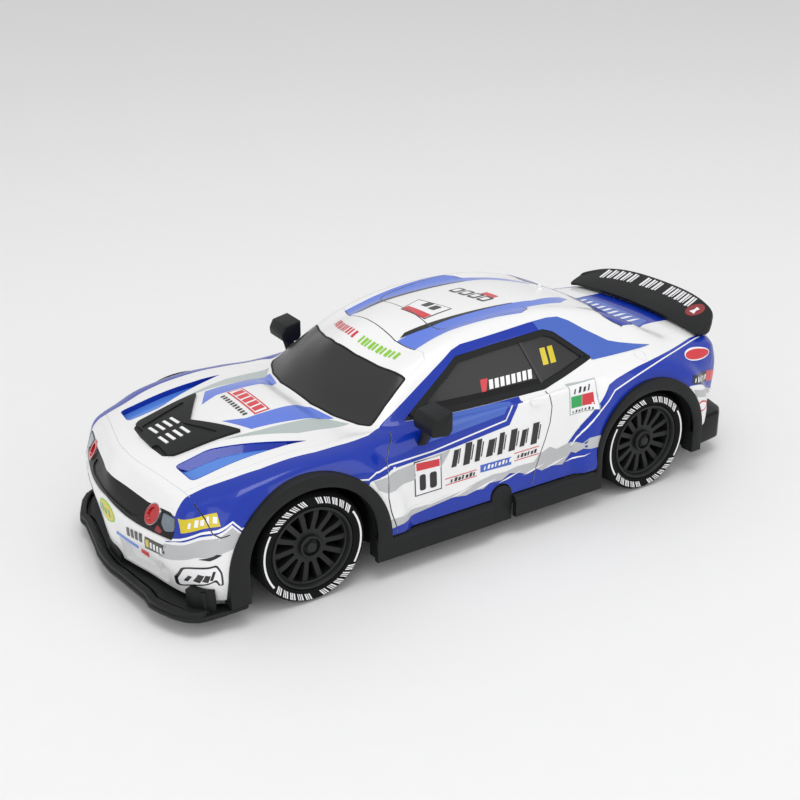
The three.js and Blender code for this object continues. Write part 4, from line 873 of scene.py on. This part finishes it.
# ---- printed labels: abstract marks in place of lettering ----
def frame_label(a0, a1, b0, b1, edge, slope=0.0, part="wall"):
    """A white sheared rectangle with a border, on the side of the car."""
    def corners(inset):
        low, high = a0 + inset, a1 - inset
        return [(low, b0 + inset), (high, b0 + inset + slope), (high, b1 - inset + slope),
            (low, b1 - inset)]

    film(edge, part, "y", corners(0))
    film("pin", part, "y", corners(0.5), 1)


def slashes(colour, axis, start, step, size, count, rise=0.0, sides=True):
    """A row of leaning bars that stands in for a word."""
    for k in range(count):
        a, b = start[0] + step * k, start[1] + rise * k
        width, height = size[0] * (1.0 if k % 3 else 0.62), size[1] * (1.0 if k % 2 else 0.8)
        lean = 0.3 * height
        film(colour, "wall", axis, [(a, b), (a - width, b), (a - width - lean, b + height),
            (a - lean, b + height)], 2, sides)


frame_label(24.7, 38, 31.6, 47.2, "ink")
side_film("red", [(25.6, 42.4), (37, 43), (37, 46.4), (25.6, 45.6)], 2)
side_film("ink", rounded([(35.6, 33.6), (32.6, 33.6), (32.6, 40.8), (35.6, 40.8)], 1.2), 2)
side_film("ink", rounded([(30.6, 33.4), (27.2, 33.4), (27.2, 40.6), (30.6, 40.6)], 1.2), 2)
for _k in range(8):
    _x, _w = 19.8 - 5.9 * _k, 3.3 if _k % 2 else 2.5
    _low, _high = (39.2, 48.8) if _k % 3 else (39.8, 47.2)
    side_film("ink", [(_x, _low), (_x - _w, _low), (_x - _w - 1.8, _high), (_x - 1.8, _high)], 1)
    side_film("ink", [(_x - _w - 0.8, 40.8), (_x - _w - 1.3, 40.8), (_x - _w - 2.6, 47.4),
        (_x - _w - 2.1, 47.4)], 1)
side_film("band", [(5, 33.4), (-11.2, 32.8), (-11.2, 36.4), (5, 36.8)])
slashes("pin", "y", (3.4, 34.2), -1.9, (1.1, 1.8), 8)
for _low, _high, _from, _to in ((32.4, 32.7, 23, 7), (35.2, 35.5, 23, 7), (33.8, 34.1, -12.8, -26.2),
        (37.3, 37.6, -12.8, -26.2)):
    side_film("red", [(_from, _low), (_to, _low), (_to, _high), (_from, _high)], 1)
slashes("ink", "y", (20.4, 33.1), -1.9, (1.2, 1.7), 7)
slashes("ink", "y", (-14.4, 34.8), -1.8, (1.1, 1.7), 6)
for _part in ("wall", "lid"):
    frame_label(-58.4, -43.2, 47.6, 61.2, "pearl", -0.2, _part)
side_film("green", [(-44.1, 50.6), (-50, 50.4), (-50, 55.7), (-44.1, 55.9)], 2)
side_film("red", [(-50.2, 50.4), (-56.4, 50.2), (-56.4, 55.5), (-50.2, 55.7)], 2)
slashes("ink", "y", (-45.6, 56.8), -2.6, (1.2, 2.6), 4)
slashes("ink", "y", (-44.6, 48.2), -1.7, (0.9, 1.1), 7)


DISC_HALF_HEIGHT = 2.7
DISC_TILT = math.radians(8)


def disc_label(a, b, half_length, edge, fill, border=0.55):
    """An oval sticker with a border, on the side of the car."""
    cosine, sine = math.cos(DISC_TILT), math.sin(DISC_TILT)
    for shrink, colour, level in ((0, edge, 1), (border, fill, 2)):
        outline = []
        for u, v in circle(0, 0, 1):
            p, q = u * (half_length - shrink), v * (DISC_HALF_HEIGHT - shrink)
            outline.append((a + p * cosine - q * sine, b + p * sine + q * cosine))
        for part in ("wall", "lid"):
            film(colour, part, "y", outline, level)


disc_label(-123.4, 57.1, 9.4, "pin", "red")
side_film("ink", [(-113.4, 47), (-114.4, 50.6), (-128.8, 47.8), (-128.3, 42.8)], 1)
side_film("red", [(-128.3, 42.8), (-128.8, 47.8), (-141, 44.6), (-141, 39.6)], 1)
slashes("pin", "y", (-115.4, 47), -2.2, (1.2, 2.2), 6, rise=-0.55)
side_film("silver", [(-114.9, 43.6), (-131.3, 38.6), (-135, 34.6), (-117, 39.4)], 1)
disc_label(-121.6, 33.6, 4.4, "red", "pin", 0.8)

# nose and bumper
side_film("yellow", [(136.8, 41.6), (124.2, 44.8), (123.9, 49), (136.4, 46.6)], 1)
slashes("pin", "y", (134.6, 43.6), -2.1, (1.3, 2.6), 5, rise=0.5)
for _grow, _colour, _level in ((0, "lime", 0), (0.8, "yellow", 1)):
    nose_film(_colour, [(2.2 + (8.2 - _grow) * math.cos(t), 32.9 + (4.4 - _grow) * math.sin(t))
        for t in np.linspace(0, 2 * math.pi, 36, endpoint=False)], _level, False)
slashes("green", "x", (-3, 31.4), 3.2, (1.8, 3), 4, sides=False)
nose_film("ink", [(30.1, 27.3), (43.1, 28.7), (45.5, 34.6), (33.2, 34.2)], 0)
nose_film("yellow", [(31.6, 28.8), (33.6, 29), (35.4, 33.2), (33.4, 33)], 1)
for _bar in repeated([(34.6, 29.2), (35.7, 29.3), (37, 32.6), (35.9, 32.5)], 4, 2):
    nose_film("pin", _bar, 1)
for _bar in repeated([(18.4, 28.3), (20.4, 28.5), (22.2, 33.3), (20.2, 33.1)], 4, 3.1, 0.4):
    nose_film("ink", _bar, 1)
nose_film("azure", [(8.4, 24.7), (23.5, 23.8), (24.4, 25.6), (9.3, 26.4)], 1)
nose_film("red", [(25, 22.8), (30.2, 22.6), (31.4, 25.4), (26.2, 25.2)], 1)
CORNER_LABEL = [(137.4, 26.2), (127.6, 30), (125.9, 26.3), (125.7, 20.4), (127.4, 20.4), (128.4, 22.6),
    (134.6, 17.8), (137.6, 15.2), (138.6, 19.8)]
side_film("ink", rounded(CORNER_LABEL, 1.2))
side_film("pin", rounded(grown(CORNER_LABEL, -0.7), 1.0), 1)
slashes("ink", "y", (136.6, 19.6), -2.1, (1.5, 4), 4, rise=1.15)
side_film("ink", [(132.8, 31.3), (127.2, 34.3), (125.4, 33.7), (129.8, 31.6)], 1)

# bonnet badge and sun strip
top_film("red", whole_plan([(86.4, 0), (86.4, 13.9), (79, 13.3), (79, 0)]), 0, False)
top_film("pin", whole_plan([(85.6, 0), (85.6, 12.9), (79.8, 12.4), (79.8, 0)]), 1, False)
for _k in range(5):
    _y = -10.6 + 4.7 * _k
    top_film("red", [(85.2, _y), (85.2, _y + 3.4), (80.2, _y + 2.6), (80.2, _y - 0.8)], 2, False)
for _k in range(10):
    _y = -11 + 2.4 * _k
    top_film("ink", [(90.6, _y), (90.6, _y + 1.3), (88.4, _y + 0.9), (88.4, _y - 0.4)], 1, False)
for _k in range(20):
    _y = (-20.4, 8.4)[_k // 10] + (2.62, 2.02)[_k // 10] * (_k % 10)
    _x = 34.1 + 0.027 * _y - 0.01076 * _y * _y
    _w = 1.5 if _k % 2 else 1.0
    top_film("red" if _k < 10 else "lime", [(_x, _y), (_x, _y + _w), (_x - 3.9, _y + _w - 0.7),
        (_x - 3.9, _y - 0.7)], 1, False)
top_film("ink", [(-7.4, -6.6), (5.6, -1.2), (3, 14.4), (-13, 12.2)], 0, False)
top_film("pin", [(-6.8, -5.8), (4.9, -0.8), (2.5, 13.7), (-12.3, 11.7)], 1, False)
top_film("red", [(1, -2), (5.2, -0.6), (3, 13.6), (-1.4, 13)], 2, False)
for _k in range(2):
    _x, _y = -3.6 - 0.4 * _k, 0.6 + 5.2 * _k
    top_film("ink", rounded([(_x, _y), (_x - 0.9, _y + 3.6), (_x - 6, _y + 3), (_x - 5.2, _y - 0.6)],
        0.8), 2, False)
for _k in range(4):
    _x, _y = -25 - 1.2 * _k, -9 + 5.6 * _k
    top_film("ink", rounded([(_x, _y), (_x - 1, _y + 4.4), (_x - 8, _y + 3.8), (_x - 7, _y - 0.6)], 1), 1,
        False)
    top_film("white", rounded([(_x - 1.4, _y + 0.9), (_x - 2, _y + 3.4), (_x - 6.4, _y + 3),
        (_x - 5.8, _y + 0.5)], 0.6), 2, False)
top_film("red", [(-35, 3), (-36.4, 10.4), (-40, 10), (-38.6, 2.6)], 1, False)

# The blue patches meet and overlap, so they are made into one film.
for _colour, _patches in prints.items():
    _film = union(*_patches) if _colour == "blue" else joined(_patches)
    piece(f"livery_{_colour}", _film, _colour, slot="painted_shell", angle=40)


# ---- grille band, lamps and tail ----
RING_LAMP = (34, 43.3)
HEADLAMP = rounded([(39.2, 45.6), (46.8, 45.8), (48.3, 41), (44, 39.9), (40.4, 42)], 1)


def band_panel():
    """The dark band across the nose, with a shallow dip between the ring lamps."""
    sheet = slab("x", grown(BAND, -0.1), NOSE_SPAN, -0.6, -2.6)
    dip_outline = rounded(both_sides([(0, 39.6), (22, 38.6), (27, 39.8), (26, 43), (0, 44.6)]), 1)
    dip = slab("x", dip_outline, NOSE_SPAN, 0.5, -1.15)
    lamps = [prism("x", circle(side * RING_LAMP[0], RING_LAMP[1], 3.8), *NOSE_SPAN) for side in (1, -1)]
    eye = prism("x", HEADLAMP, *NOSE_SPAN)
    return cut(sheet, dip, *lamps, eye, mirrored(eye))


def disc_on_skin(radius, high, low, inner=0.0):
    """A disc or ring round the ring lamp's centre, between two heights over the skin."""
    tool = prism("x", circle(*RING_LAMP, radius), *NOSE_SPAN)
    if inner:
        tool = cut(tool, prism("x", circle(*RING_LAMP, inner), 110, 170))
    return combined(layer(high, low), tool, "INTERSECT")


piece("grille_band", band_panel(), "satin", nodes=["grille_panel"])
piece("grille_backing", slab("x", grown(BAND, -0.6), NOSE_SPAN, -2, -2.8), "ink")
pair("ring_lamp_lens", union(disc_on_skin(3.7, 0.25, -1.6, 2.5), disc_on_skin(2.6, -0.5, -1.6)),
    "redlens", node="ring_lamp_{side}", bevel=0.2)
pair("ring_lamp_rim", disc_on_skin(4.05, 0.05, -1.2, 3.7), "chrome")
LOW_LAMP = rounded([(38, 38.2), (41.6, 38.2), (42.2, 39.4), (38.4, 40.6)], 0.7)
pair("low_lamp", slab("x", LOW_LAMP, NOSE_SPAN, -0.5, -1.6), "wine")
eye = slab("x", grown(HEADLAMP, -0.15), NOSE_SPAN, -0.25, -1.6)
pair("headlamp_lens", eye, "lamp", node="headlight_{side}")

tail_plate = slab("x", grown(TAIL_PANEL, -0.15), TAIL_SPAN, -0.9, -2)
piece("tail_plate", tail_plate, "satin", nodes=["tail_light_panel"], slot="red_lens")
for _k, (_from, _to) in enumerate(((3, 12), (13, 22), (23, 32), (33, 43))):
    _lens = rounded([(_from, 47), (_to, 47), (_to, 54.6), (_from, 55.4)], 1.2)
    pair(f"tail_lens_{_k}", slab("x", _lens, TAIL_SPAN, -0.3, -1.6), "redlens")


# ---- bonnet scoop ----
def scoop():
    """The black scoop, with its shallow tray and two nostrils."""
    body = slab("z", grown(SCOOP, 0.3), TOP_SPAN, 1.05, -0.1)
    hollow = rounded([(126, -12.5), (126, 12.5), (104.6, 18), (112.4, 0), (104.6, -18)], 1.5)
    tray = slab("z", hollow, TOP_SPAN, 2, 0.55)
    nostrils = []
    for side in (1, -1):
        plan = rounded([(129.6, 7 * side), (129.6, 15 * side), (126.8, 18.4 * side), (126.8, 7.5 * side)],
            0.7)
        nostrils.append(slab("z", plan, TOP_SPAN, 3, 0.15))
    return cut(body, tray, *nostrils)


piece("bonnet_scoop", scoop(), "plastic", nodes=["hood_scoop"], bevel=0.15)
scoop_marks = [slab("z", [(124.5 - 3.2 * k, y), (123.3 - 3.2 * k, y), (122.6 - 3.2 * k, y + 7),
    (123.8 - 3.2 * k, y + 7)], SPANS["z"], 0.85, 0.5) for k in range(4) for y in (-9, 2)]
piece("scoop_marks", joined(scoop_marks), "pin", slot="black_trim")
HANDLE = rounded([(-21.8, 59.4), (-28.8, 58.8), (-28.2, 57), (-22.6, 57.2)], 0.8)
pair("door_handle", slab("y", HANDLE, (40, 75), 0.9, -0.2), "white", bevel=0.3)
_ring = cut(prism("z", circle(-88, 54, 2.9), *TOP_SPAN), prism("z", circle(-88, 54, 2.5), 30, 95))
pair("filler_cap_ring", combined(layer(0.3, -0.1), _ring, "INTERSECT"), "white")
_stud = turned([(0.05, 83.4), (1.7, 83.4), (1.5, 84.4), (1.0, 84.8), (0.9, 86.4), (0.5, 87), (0.05, 87)],
    (-71.4, 0), 24, "z")
piece("roof_stud", _stud, "white")


# ---- wing and mirrors ----
WING_HALF = 47.2


def wing_section(y):
    """Section of the wing at y, from the front edge under it to the rear lip and back over the top."""
    across = min(1.0, abs(y) / WING_HALF)
    front = -129.5 - 1.5 * (1 - across)
    rear = -152.4 + 8.6 * across ** 2.2 + 5 * max(0.0, (across - 0.8) / 0.2) ** 2
    lip = 73 - 5.2 * across ** 4
    chord = (front, (2 * front + rear) / 3, (front + 2 * rear) / 3)
    under = [on_skin("z", max(x, -144 + 7 * across ** 2), abs(y))[0].z + 1.2 for x in chord]
    top = [(rear + 0.1, lip - 0.9), (rear + 0.8, lip), (rear + 1.9, lip - 0.15)]
    for t in (0.25, 0.45, 0.65, 0.85):
        top.append((rear + (front - rear) * t, lip - 0.25 + (under[0] + 2 - lip) * t ** 1.25))
    bottom = [*zip(chord, under), (rear + 1.4, under[2] + 1), (rear + 0.4, lip - 3)]
    return [*bottom, *top, (front + 0.3, under[0] + 1.3)]


def wing():
    """The wing, with its ends drawn in so that they are round."""
    rings = []
    for t in np.linspace(-1, 1, 61):
        section = np.array(wing_section(WING_HALF * math.sin(t * math.pi / 2)))
        shrink = math.sqrt(max(0.0, 1 - max(0.0, (abs(t) - 0.86) / 0.14) ** 2))
        centre = section.mean(axis=0)
        y = WING_HALF * math.sin(t * math.pi / 2)
        rings.append([(x, y, z) for x, z in centre + (section - centre) * (0.35 + 0.65 * shrink)])
    return loft(rings)


WING = wing()
piece("rear_wing", WING, "plastic", nodes=["spoiler"], angle=50)
WING_TREE = BVHTree.FromPolygons([v.co.copy() for v in WING.vertices],
    [tuple(face.vertices) for face in WING.polygons])


def on_wing(outline, high=0.12):
    """A thin patch that lies on the top of the wing."""
    rings = [[], []]
    for x, y in outline:
        hit = WING_TREE.ray_cast(Vector((x, y, 120)), Vector((0, 0, -1)))[0]
        rings[0].append((x, y, hit.z - 0.15))
        rings[1].append((x, y, hit.z + high))
    return loft(rings)


def wing_marks():
    """A row of leaning bars that stands in for the word on the wing."""
    marks = []
    for k in range(15):
        y = -35 + 4.3 * k
        if k in (5, 9):
            continue
        rear = -150 + 8.6 * (abs(y) / WING_HALF) ** 2.2
        bar = [(rear, y), (rear, y + 1.3), (rear + 3.8, y + 1.9), (rear + 7.6, y + 2.5),
            (rear + 7.6, y + 1.2), (rear + 3.8, y + 0.6)]
        marks.append(on_wing(bar))
        marks.append(on_wing([(rear + 0.3, y + 2), (rear + 0.3, y + 3),
            (rear + 7.3, y + 4 - 0.4 * (k % 2)), (rear + 7.3, y + 3.2)]))
    return joined(marks)


piece("wing_marks", wing_marks(), "pin", slot="black_trim")
_disc = [(-140.6 + 5 * math.cos(t), 34 + 4.3 * math.sin(t))
    for t in np.linspace(0, 2 * math.pi, 28, endpoint=False)]
piece("wing_disc", on_wing(_disc, 0.1), "wine")
piece("wing_disc_mark", on_wing([(-143.4, 33), (-143.2, 36), (-140.4, 35), (-138, 36), (-138.2, 32.6),
    (-140.6, 33.6)], 0.16), "pin", slot="black_trim")


def eased_rings(axis, outline, low, high, ease, both=True):
    """A solid between low and high with its end edges rounded."""
    place, rings = AXES[axis], []
    quarter = np.linspace(0, math.pi / 2, 5)
    if both:
        rings += [(low + ease * (1 - math.sin(t)), ease * (1 - math.cos(t))) for t in quarter[::-1]]
    else:
        rings.append((low, 0.0))
    rings += [(high - ease * (1 - math.sin(t)), ease * (1 - math.cos(t))) for t in quarter]
    return loft([[place(a, b, level) for a, b in grown(outline, -inset)] for level, inset in rings])


def mirror_head():
    """The mirror's housing, hollowed towards the rear for its glass."""
    outline = rounded([(27, 63.2), (26.8, 71.4), (35.2, 69.8), (37.2, 66), (36.8, 62.4), (29, 61.2)], 0.9)
    head = eased_rings("y", outline, 57.8, 72, 0.8)
    face = prism("y", grown(outline, -1.7), 59.6, 70.4)
    face.transform(Matrix.Translation((-7, 0, 0)))
    bowl = combined(face, box(20, 28.2, 55, 75, 60, 75), "INTERSECT")
    return cut(head, bowl)


pair("mirror_shell", mirror_head(), "plastic", node="mirror_{side}", bevel=0.2)
MIRROR_STALK = [(32.6, 57.4, 53.4, 2.6, 1.6), (32.4, 60.2, 57.6, 2.2, 1.6), (32.2, 61.6, 62.6, 3.2, 2.4)]
mirror_foot = loft([[(x + a * length, y + b * width, z) for a, b in circle(0, 0, 1, 20)]
    for x, y, z, length, width in MIRROR_STALK])
pair("mirror_foot", mirror_foot, "plastic")
pair("mirror_glass", box(28.1, 28.6, 60.4, 69.6, 63.4, 69.4), "gloss", slot="smoked_window", bevel=0.2)


# ---- splitter, diffuser, flares and skirts ----
SPLITTER_EDGE = [(153, 0), (152.7, 8), (151.4, 15), (150, 25), (148.6, 35), (149, 40.8), (147, 47),
    (144, 54), (140.5, 59), (136.5, 61.8)]


def splitter():
    """The front plate, with a raised rim along its edge and a step under the bumper."""
    back = [(130, 62.6), (116, 62.6), (116, 59.6), (128, 54), (127, 35), (133, 33.4), (133, 0)]
    plan = rounded(whole_plan([*SPLITTER_EDGE, *back]), 1.5, 4)
    plate = eased_rings("z", plan, 6.8, 8.8, 0.7)

    def edge(inset):
        return [(x - inset, y * (1 - 0.004 * inset)) for x, y in SPLITTER_EDGE]

    rim = eased_rings("z", whole_plan([*edge(0.6), *edge(3.4)[::-1]]), 8, 11.2, 0.7, both=False)
    step = eased_rings("z", whole_plan([*edge(4.6), (131.2, 58), (132.6, 54), (133.2, 50), (136.6, 35),
        (139, 24.5), (141.4, 12), (143, 0)]), 8, 10.2, 0.5, both=False)
    return union(plate, rim, step)


def corner_guard():
    """The upturned end of the splitter, which grips the bumper's corner."""
    plan = rounded([(137.6, 51.6), (136.4, 55), (133.6, 57.4), (128.8, 60.2), (127.6, 58), (131, 55.6),
        (134, 51)], 0.6)
    ridge = prism("z", rounded([(134.6, 56), (133.2, 58.6), (131.8, 58.8), (131.6, 56)], 0.4), 8, 17.6)
    guard = union(prism("z", plan, 8, 18.4), ridge)
    return cut(guard, prism("y", [(150, 14), (150, 30), (134, 30), (134.6, 18)], 40, 70))


piece("splitter_plate", splitter(), "plastic", nodes=["front_splitter"], angle=40)
pair("splitter_guard", corner_guard(), "plastic", bevel=0.4)
clip = eased_rings("x", rounded([(-6.6, 7.4), (6.6, 7.4), (6.6, 14), (4.6, 16.2), (-4.6, 16.2),
    (-6.6, 14)], 1), 140, 147.6, 0.7)
piece("splitter_clip", clip, "plastic")


def diffuser():
    """The rear bumper's lower half, with five slots."""
    plan = rounded(whole_plan([(-153, 0), (-152.4, 20), (-150.6, 38), (-147.6, 49), (-143, 53.4),
        (-128, 55.4), (-126.4, 52), (-130, 30), (-130, 0)]), 1.5)
    body = eased_rings("z", plan, 8, 22.6, 1.6)
    undercut = prism("y", [(-160, 0), (-146, 7), (-128, 20), (-120, 20), (-120, 0)], -46, 46)
    slots = [eased_rings("x", rounded([(y - 5.6, 3), (y + 5.6, 3), (y + 5.6, 17.8), (y + 4.4, 19),
        (y - 4.4, 19), (y - 5.6, 17.8)], 1), -162, -144.6, 0.3) for y in (-31, -15.5, 0, 15.5, 31)]
    return cut(body, undercut, *slots)


piece("tail_diffuser", diffuser(), "gloss", nodes=["rear_diffuser"], bevel=0.3)


ARCH_OPENING = {ARCHES[0]: (28.3, 26.8), ARCHES[1]: (27.6, 25.7)}  # half width and height over the axle


def flare(arch, wheel_x, bottom, start, end):
    """The black lip round one wheel opening, with eased edges."""
    lens = eased_rings("y", arch_outline(arch, bottom), FLARE_INNER, FLARE_OUTER, 0.6, both=False)
    wide, tall = ARCH_OPENING[arch]

    def opening(extra):
        arc = [(wheel_x + (wide + extra) * a, AXLE_Z + (tall + extra) * b)
            for a, b in circle(0, 0, 1, 60, 0, 180)]
        return [(arc[0][0], -5), *arc, (arc[-1][0], -5)]

    rings = [(50, 0), (FLARE_OUTER - 0.9, 0), (FLARE_OUTER - 0.3, 0.2), (FLARE_OUTER, 0.7),
        (FLARE_OUTER + 1, 1.8)]
    hole = loft([[(a, y, b) for a, b in opening(extra)] for y, extra in rings])
    return combined(cut(lens, hole), box(start, end, 50, 80, bottom - 1, 60), "INTERSECT")


def sill_rail(start, end):
    """The rail along the sill, drawn in (y, z) and pushed along the car."""
    section = rounded([(62.1, 9), (64.7, 9), (64.7, 16.6), (63.9, 18.2), (62.1, 19.2)], 0.5)
    return prism("x", section, start, end)


# The body as a block that black trim must stay out of.
BODY_BLOCK = layer(0.05, -2.2)


def trim(arch, wheel_x, bottom, span, rail):
    """A flare and its length of sill rail, kept clear of the body."""
    return cut(union(flare(arch, wheel_x, bottom, *span), sill_rail(*rail)), BODY_BLOCK)


pair("front_flare", trim(ARCHES[0], AXLE_X, 10, (51.6, 126), (0.7, AXLE_X - ARCH_GAP)), "plastic",
    node="front_skirt_{side}", angle=40)
REAR_END = rounded([(-113, 18.4), (-113, 31), (-119, 26), (-121, 22), (-121, 18.4)], 1)
rear_end = prism("y", REAR_END, 60, 64.4)
pair("rear_flare", trim(ARCHES[1], -AXLE_X, 12, (-121, -56), (-AXLE_X + ARCH_GAP, -10.9)), "plastic",
    node="rear_skirt_{side}", angle=40)
_clear = prism("y", circle(-AXLE_X, AXLE_Z, ARCH_GAP, 60), 50, 80)
pair("rear_flare_end", cut(rear_end, BODY_BLOCK, _clear), "plastic", bevel=0.3)
step_plate = prism("z", rounded([(-40, 58), (-40, 61.9), (40, 61.9), (40, 58)], 1), 14.8, 18.8)
pair("sill_lining", step_plate, "plastic", bevel=0.3)

for _name, _arch in zip(("front", "rear"), ARCHES):
    _liner, _inner = arch_outline(_arch, 12, 3.2, 48), arch_outline(_arch, 12, 4.2, 48)
    pair(f"{_name}_wheel_liner", prism("y", [*_liner, *_inner[::-1]], 40.5, 60.4), "plastic")


# The rear wells are closed on the inside, with a slot that clears the axle tube.
_well = prism("y", arch_outline(ARCHES[1], 14, 3.6, 48), 39.6, 40.7)
pair("rear_well_wall", cut(_well, box(-97, -77, 30, 50, 5, 34)), "plastic")


# ---- wheels ----
def spoke_windows():
    """The openings between the spokes, narrow at the hub and wide at the rim."""
    windows = []
    for k in range(SPOKES):
        middle = 2 * math.pi * (k + 0.5) / SPOKES
        half_out, half_in = math.pi / SPOKES - 1.15 / 15.6, math.pi / SPOKES - 1.05 / 7.4
        corners = [(7.2, -half_in), (15.9, -half_out), (15.9, half_out), (7.2, half_in)]
        windows.append(rounded([(r * math.cos(middle + a), r * math.sin(middle + a)) for r, a in corners],
            0.9))
    return windows


def on_axle(mesh, axle_x):
    mesh.transform(Matrix.Translation((axle_x, 0, AXLE_Z)))
    return mesh


def rim(axle_x):
    barrel = [(16.3, 42.2), (17.6, 42.2), (18, 43.4), (18, 61.6), (17.8, 62.2), (17.3, 62.4),
        (16.8, 62.2), (16.2, 61.2), (16.2, 60.4), (15.6, 59.8), (15.6, 56), (16.3, 55.4)]
    disc = [(2, 55.2), (15.9, 55.8), (15.9, 59.8), (13, 59.9), (8.2, 59.2), (6.6, 59.2), (2, 59.2)]
    windows = [prism("y", window, 50, 65) for window in spoke_windows()]
    face = cut(turned(disc, (0, 0), 112), *windows)
    hub = turned([(0.9, 50), (4.9, 50), (4.9, 60.6), (4.5, 61.1), (3.9, 61.1), (3.6, 60.6), (3.5, 57.8),
        (0.9, 57.8)], (0, 0), 56)
    return on_axle(union(turned(barrel, (0, 0), 112), face, hub), axle_x)


def hub_nut(axle_x):
    """The hexagonal nut over the axle's end, with a domed cap."""
    nut = eased_rings("y", circle(0, 0, 3.2, 6), 56.5, 60.3, 0.35)
    cap = eased_rings("y", circle(0, 0, 2.3, 28), 59.6, 61.6, 0.7, both=False)
    return on_axle(union(nut, cap), axle_x)


def tyre(axle_x):
    outer = [(18, 43.2), (18.6, 42), (19.6, 41.7), (21.6, 41.8), (23, 42.6), (23.8, 44), (24, 46)]
    for y in (48.4, 52.2, 56):
        outer += [(24, y - 0.5), (23.45, y - 0.35), (23.45, y + 0.35), (24, y + 0.5)]
    outer += [(24, 58.4), (23.9, 60), (23.4, 61.5), (22.7, 62.35), (21.8, 62.55), (19.8, 62.5),
        (19.3, 62.2), (18.9, 62.35), (18.4, 62.2), (18, 61.4)]
    return turned(outer, (axle_x, AXLE_Z), 128)


MARK_SPAN = (62.2, 62.6)  # the tyre marks, across the tyre's side wall


def ring_patch(axle_x, start, end, inner, outer, lean=0.0):
    """A flat arc on the tyre's side wall, between two angles in degrees."""
    steps = max(2, round(abs(end - start) / 3))
    angles = np.radians(np.linspace(start, end, steps + 1))
    shift = math.radians(lean)
    ring = [(axle_x + outer * math.cos(t + shift), AXLE_Z + outer * math.sin(t + shift)) for t in angles]
    ring += [(axle_x + inner * math.cos(t - shift), AXLE_Z + inner * math.sin(t - shift))
        for t in angles[::-1]]
    return prism("y", ring, *MARK_SPAN)


def tyre_marks(axle_x):
    """White arcs before and behind the hub, with rows of leaning bars above and below."""
    marks = [ring_patch(axle_x, -33, 32, 21.1, 21.9), ring_patch(axle_x, 148, 213, 21.1, 21.9)]
    for turn in (0, 180):
        for k in range(11):
            if k == 5:
                continue
            angle = turn + 40.5 + 9.9 * k
            for offset, width in ((-2.6, 0.85), (0.1, 0.6), (2.5, 0.85 - 0.25 * (k % 2))):
                marks.append(ring_patch(axle_x, angle + offset - width, angle + offset + width, 19.7,
                    22.4, -2.2))
    return joined(marks)


for _end, _x in (("front", AXLE_X), ("rear", -AXLE_X)):
    _body = "wheel_front_{side}" if _end == "front" else "rear_wheels"
    pair(f"{_end}_wheel_rim", rim(_x), "rim", _body, f"{_end}_rim_{{side}}", bevel=0.18)
    pair(f"{_end}_hub_nut", hub_nut(_x), "rim", _body)
    pair(f"{_end}_wheel_tyre", tyre(_x), "rubber", _body, f"{_end}_tyre_{{side}}", angle=30)
    pair(f"{_end}_tyre_marks", tyre_marks(_x), "pin", _body, slot="tyre_rubber")


# ---- chassis ----
FINISHES = {
    # the CAD parts of each finish
    "chassis": "chassis_plate front_gearbox rear_gearbox top_deck front_arm rear_axle_tube "
        "front_body_post rear_body_post servo receiver_case knuckle steering_link",
    "plastic": "side_catch battery_door",
    "wrap": "battery_pack",
    "steel": "motor motor_mount rear_axle front_axle drive_shaft stub_axle",
    "board": "circuit_board",
    "nylon": "spur_gear servo_horn",
    "brass": "motor_pinion",
    "switch": "power_switch",
}


def dress_chassis():
    """Gives every CAD node that is still shown its finish and eased edges."""
    finishes = {part: key for key, parts in FINISHES.items() for part in parts.split()}
    for name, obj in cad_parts.items():
        base = name.removesuffix("_left").removesuffix("_right")
        if base not in finishes:
            continue
        obj.data.materials.clear()
        obj.data.materials.append(MATERIALS[finishes[base]])
        bevelled(obj, EDGE)


dress_chassis()


# ---- camera, floor and light ----
EYE = Vector((0.27703, 0.44017, 0.27141))  # metres
FOCAL, SENSOR = 55.42, 36  # millimetres


def camera():
    data = bpy.data.cameras.new("camera")
    data.lens, data.sensor_width = FOCAL, SENSOR
    obj = linked("camera", data)
    right = Vector((-0.84865, 0.52866, -0.01769))
    up = Vector((-0.22547, -0.33130, 0.91619))
    back = right.cross(up)
    rotation = Matrix((right, up, back)).transposed().to_4x4()
    obj.matrix_world = Matrix.Translation(EYE) @ rotation
    data.clip_start = 0.01
    bpy.context.scene.camera = obj


def floor():
    bm = bmesh.new()
    bmesh.ops.create_grid(bm, x_segments=2, y_segments=2, size=6)
    mesh = bpy.data.meshes.new("floor")
    bm.to_mesh(mesh)
    bm.free()
    mesh.materials.append(finish("pale_floor", 0xF4F4F4, 0.6, grain=2, bump=0.02, tint=0.01))
    linked("floor", mesh)


def soft_light(name, place, size, power):
    data = bpy.data.lights.new(name, "AREA")
    data.shape = "RECTANGLE"
    data.size, data.size_y = size
    data.energy = power
    obj = linked(name, data)
    obj.location = place
    obj.rotation_euler = (Vector((0, 0, 0.04)) - Vector(place)).to_track_quat("-Z", "Y").to_euler()


def studio():
    world = bpy.data.worlds.new("studio")
    bpy.context.scene.world = world
    world.use_nodes = True
    world.node_tree.nodes["Background"].inputs["Color"].default_value = (1, 1, 1, 1)
    world.node_tree.nodes["Background"].inputs["Strength"].default_value = 0.68
    soft_light("overhead", (0.1, 0.3, 1.5), (0.7, 0.7), 6.5)
    soft_light("front", (1.2, 0.9, 0.7), (0.9, 0.9), 3)
    soft_light("side", (-0.7, 1.4, 0.7), (0.9, 0.9), 3)
    bpy.context.scene.view_settings.view_transform = "Standard"


camera()
floor()
studio()
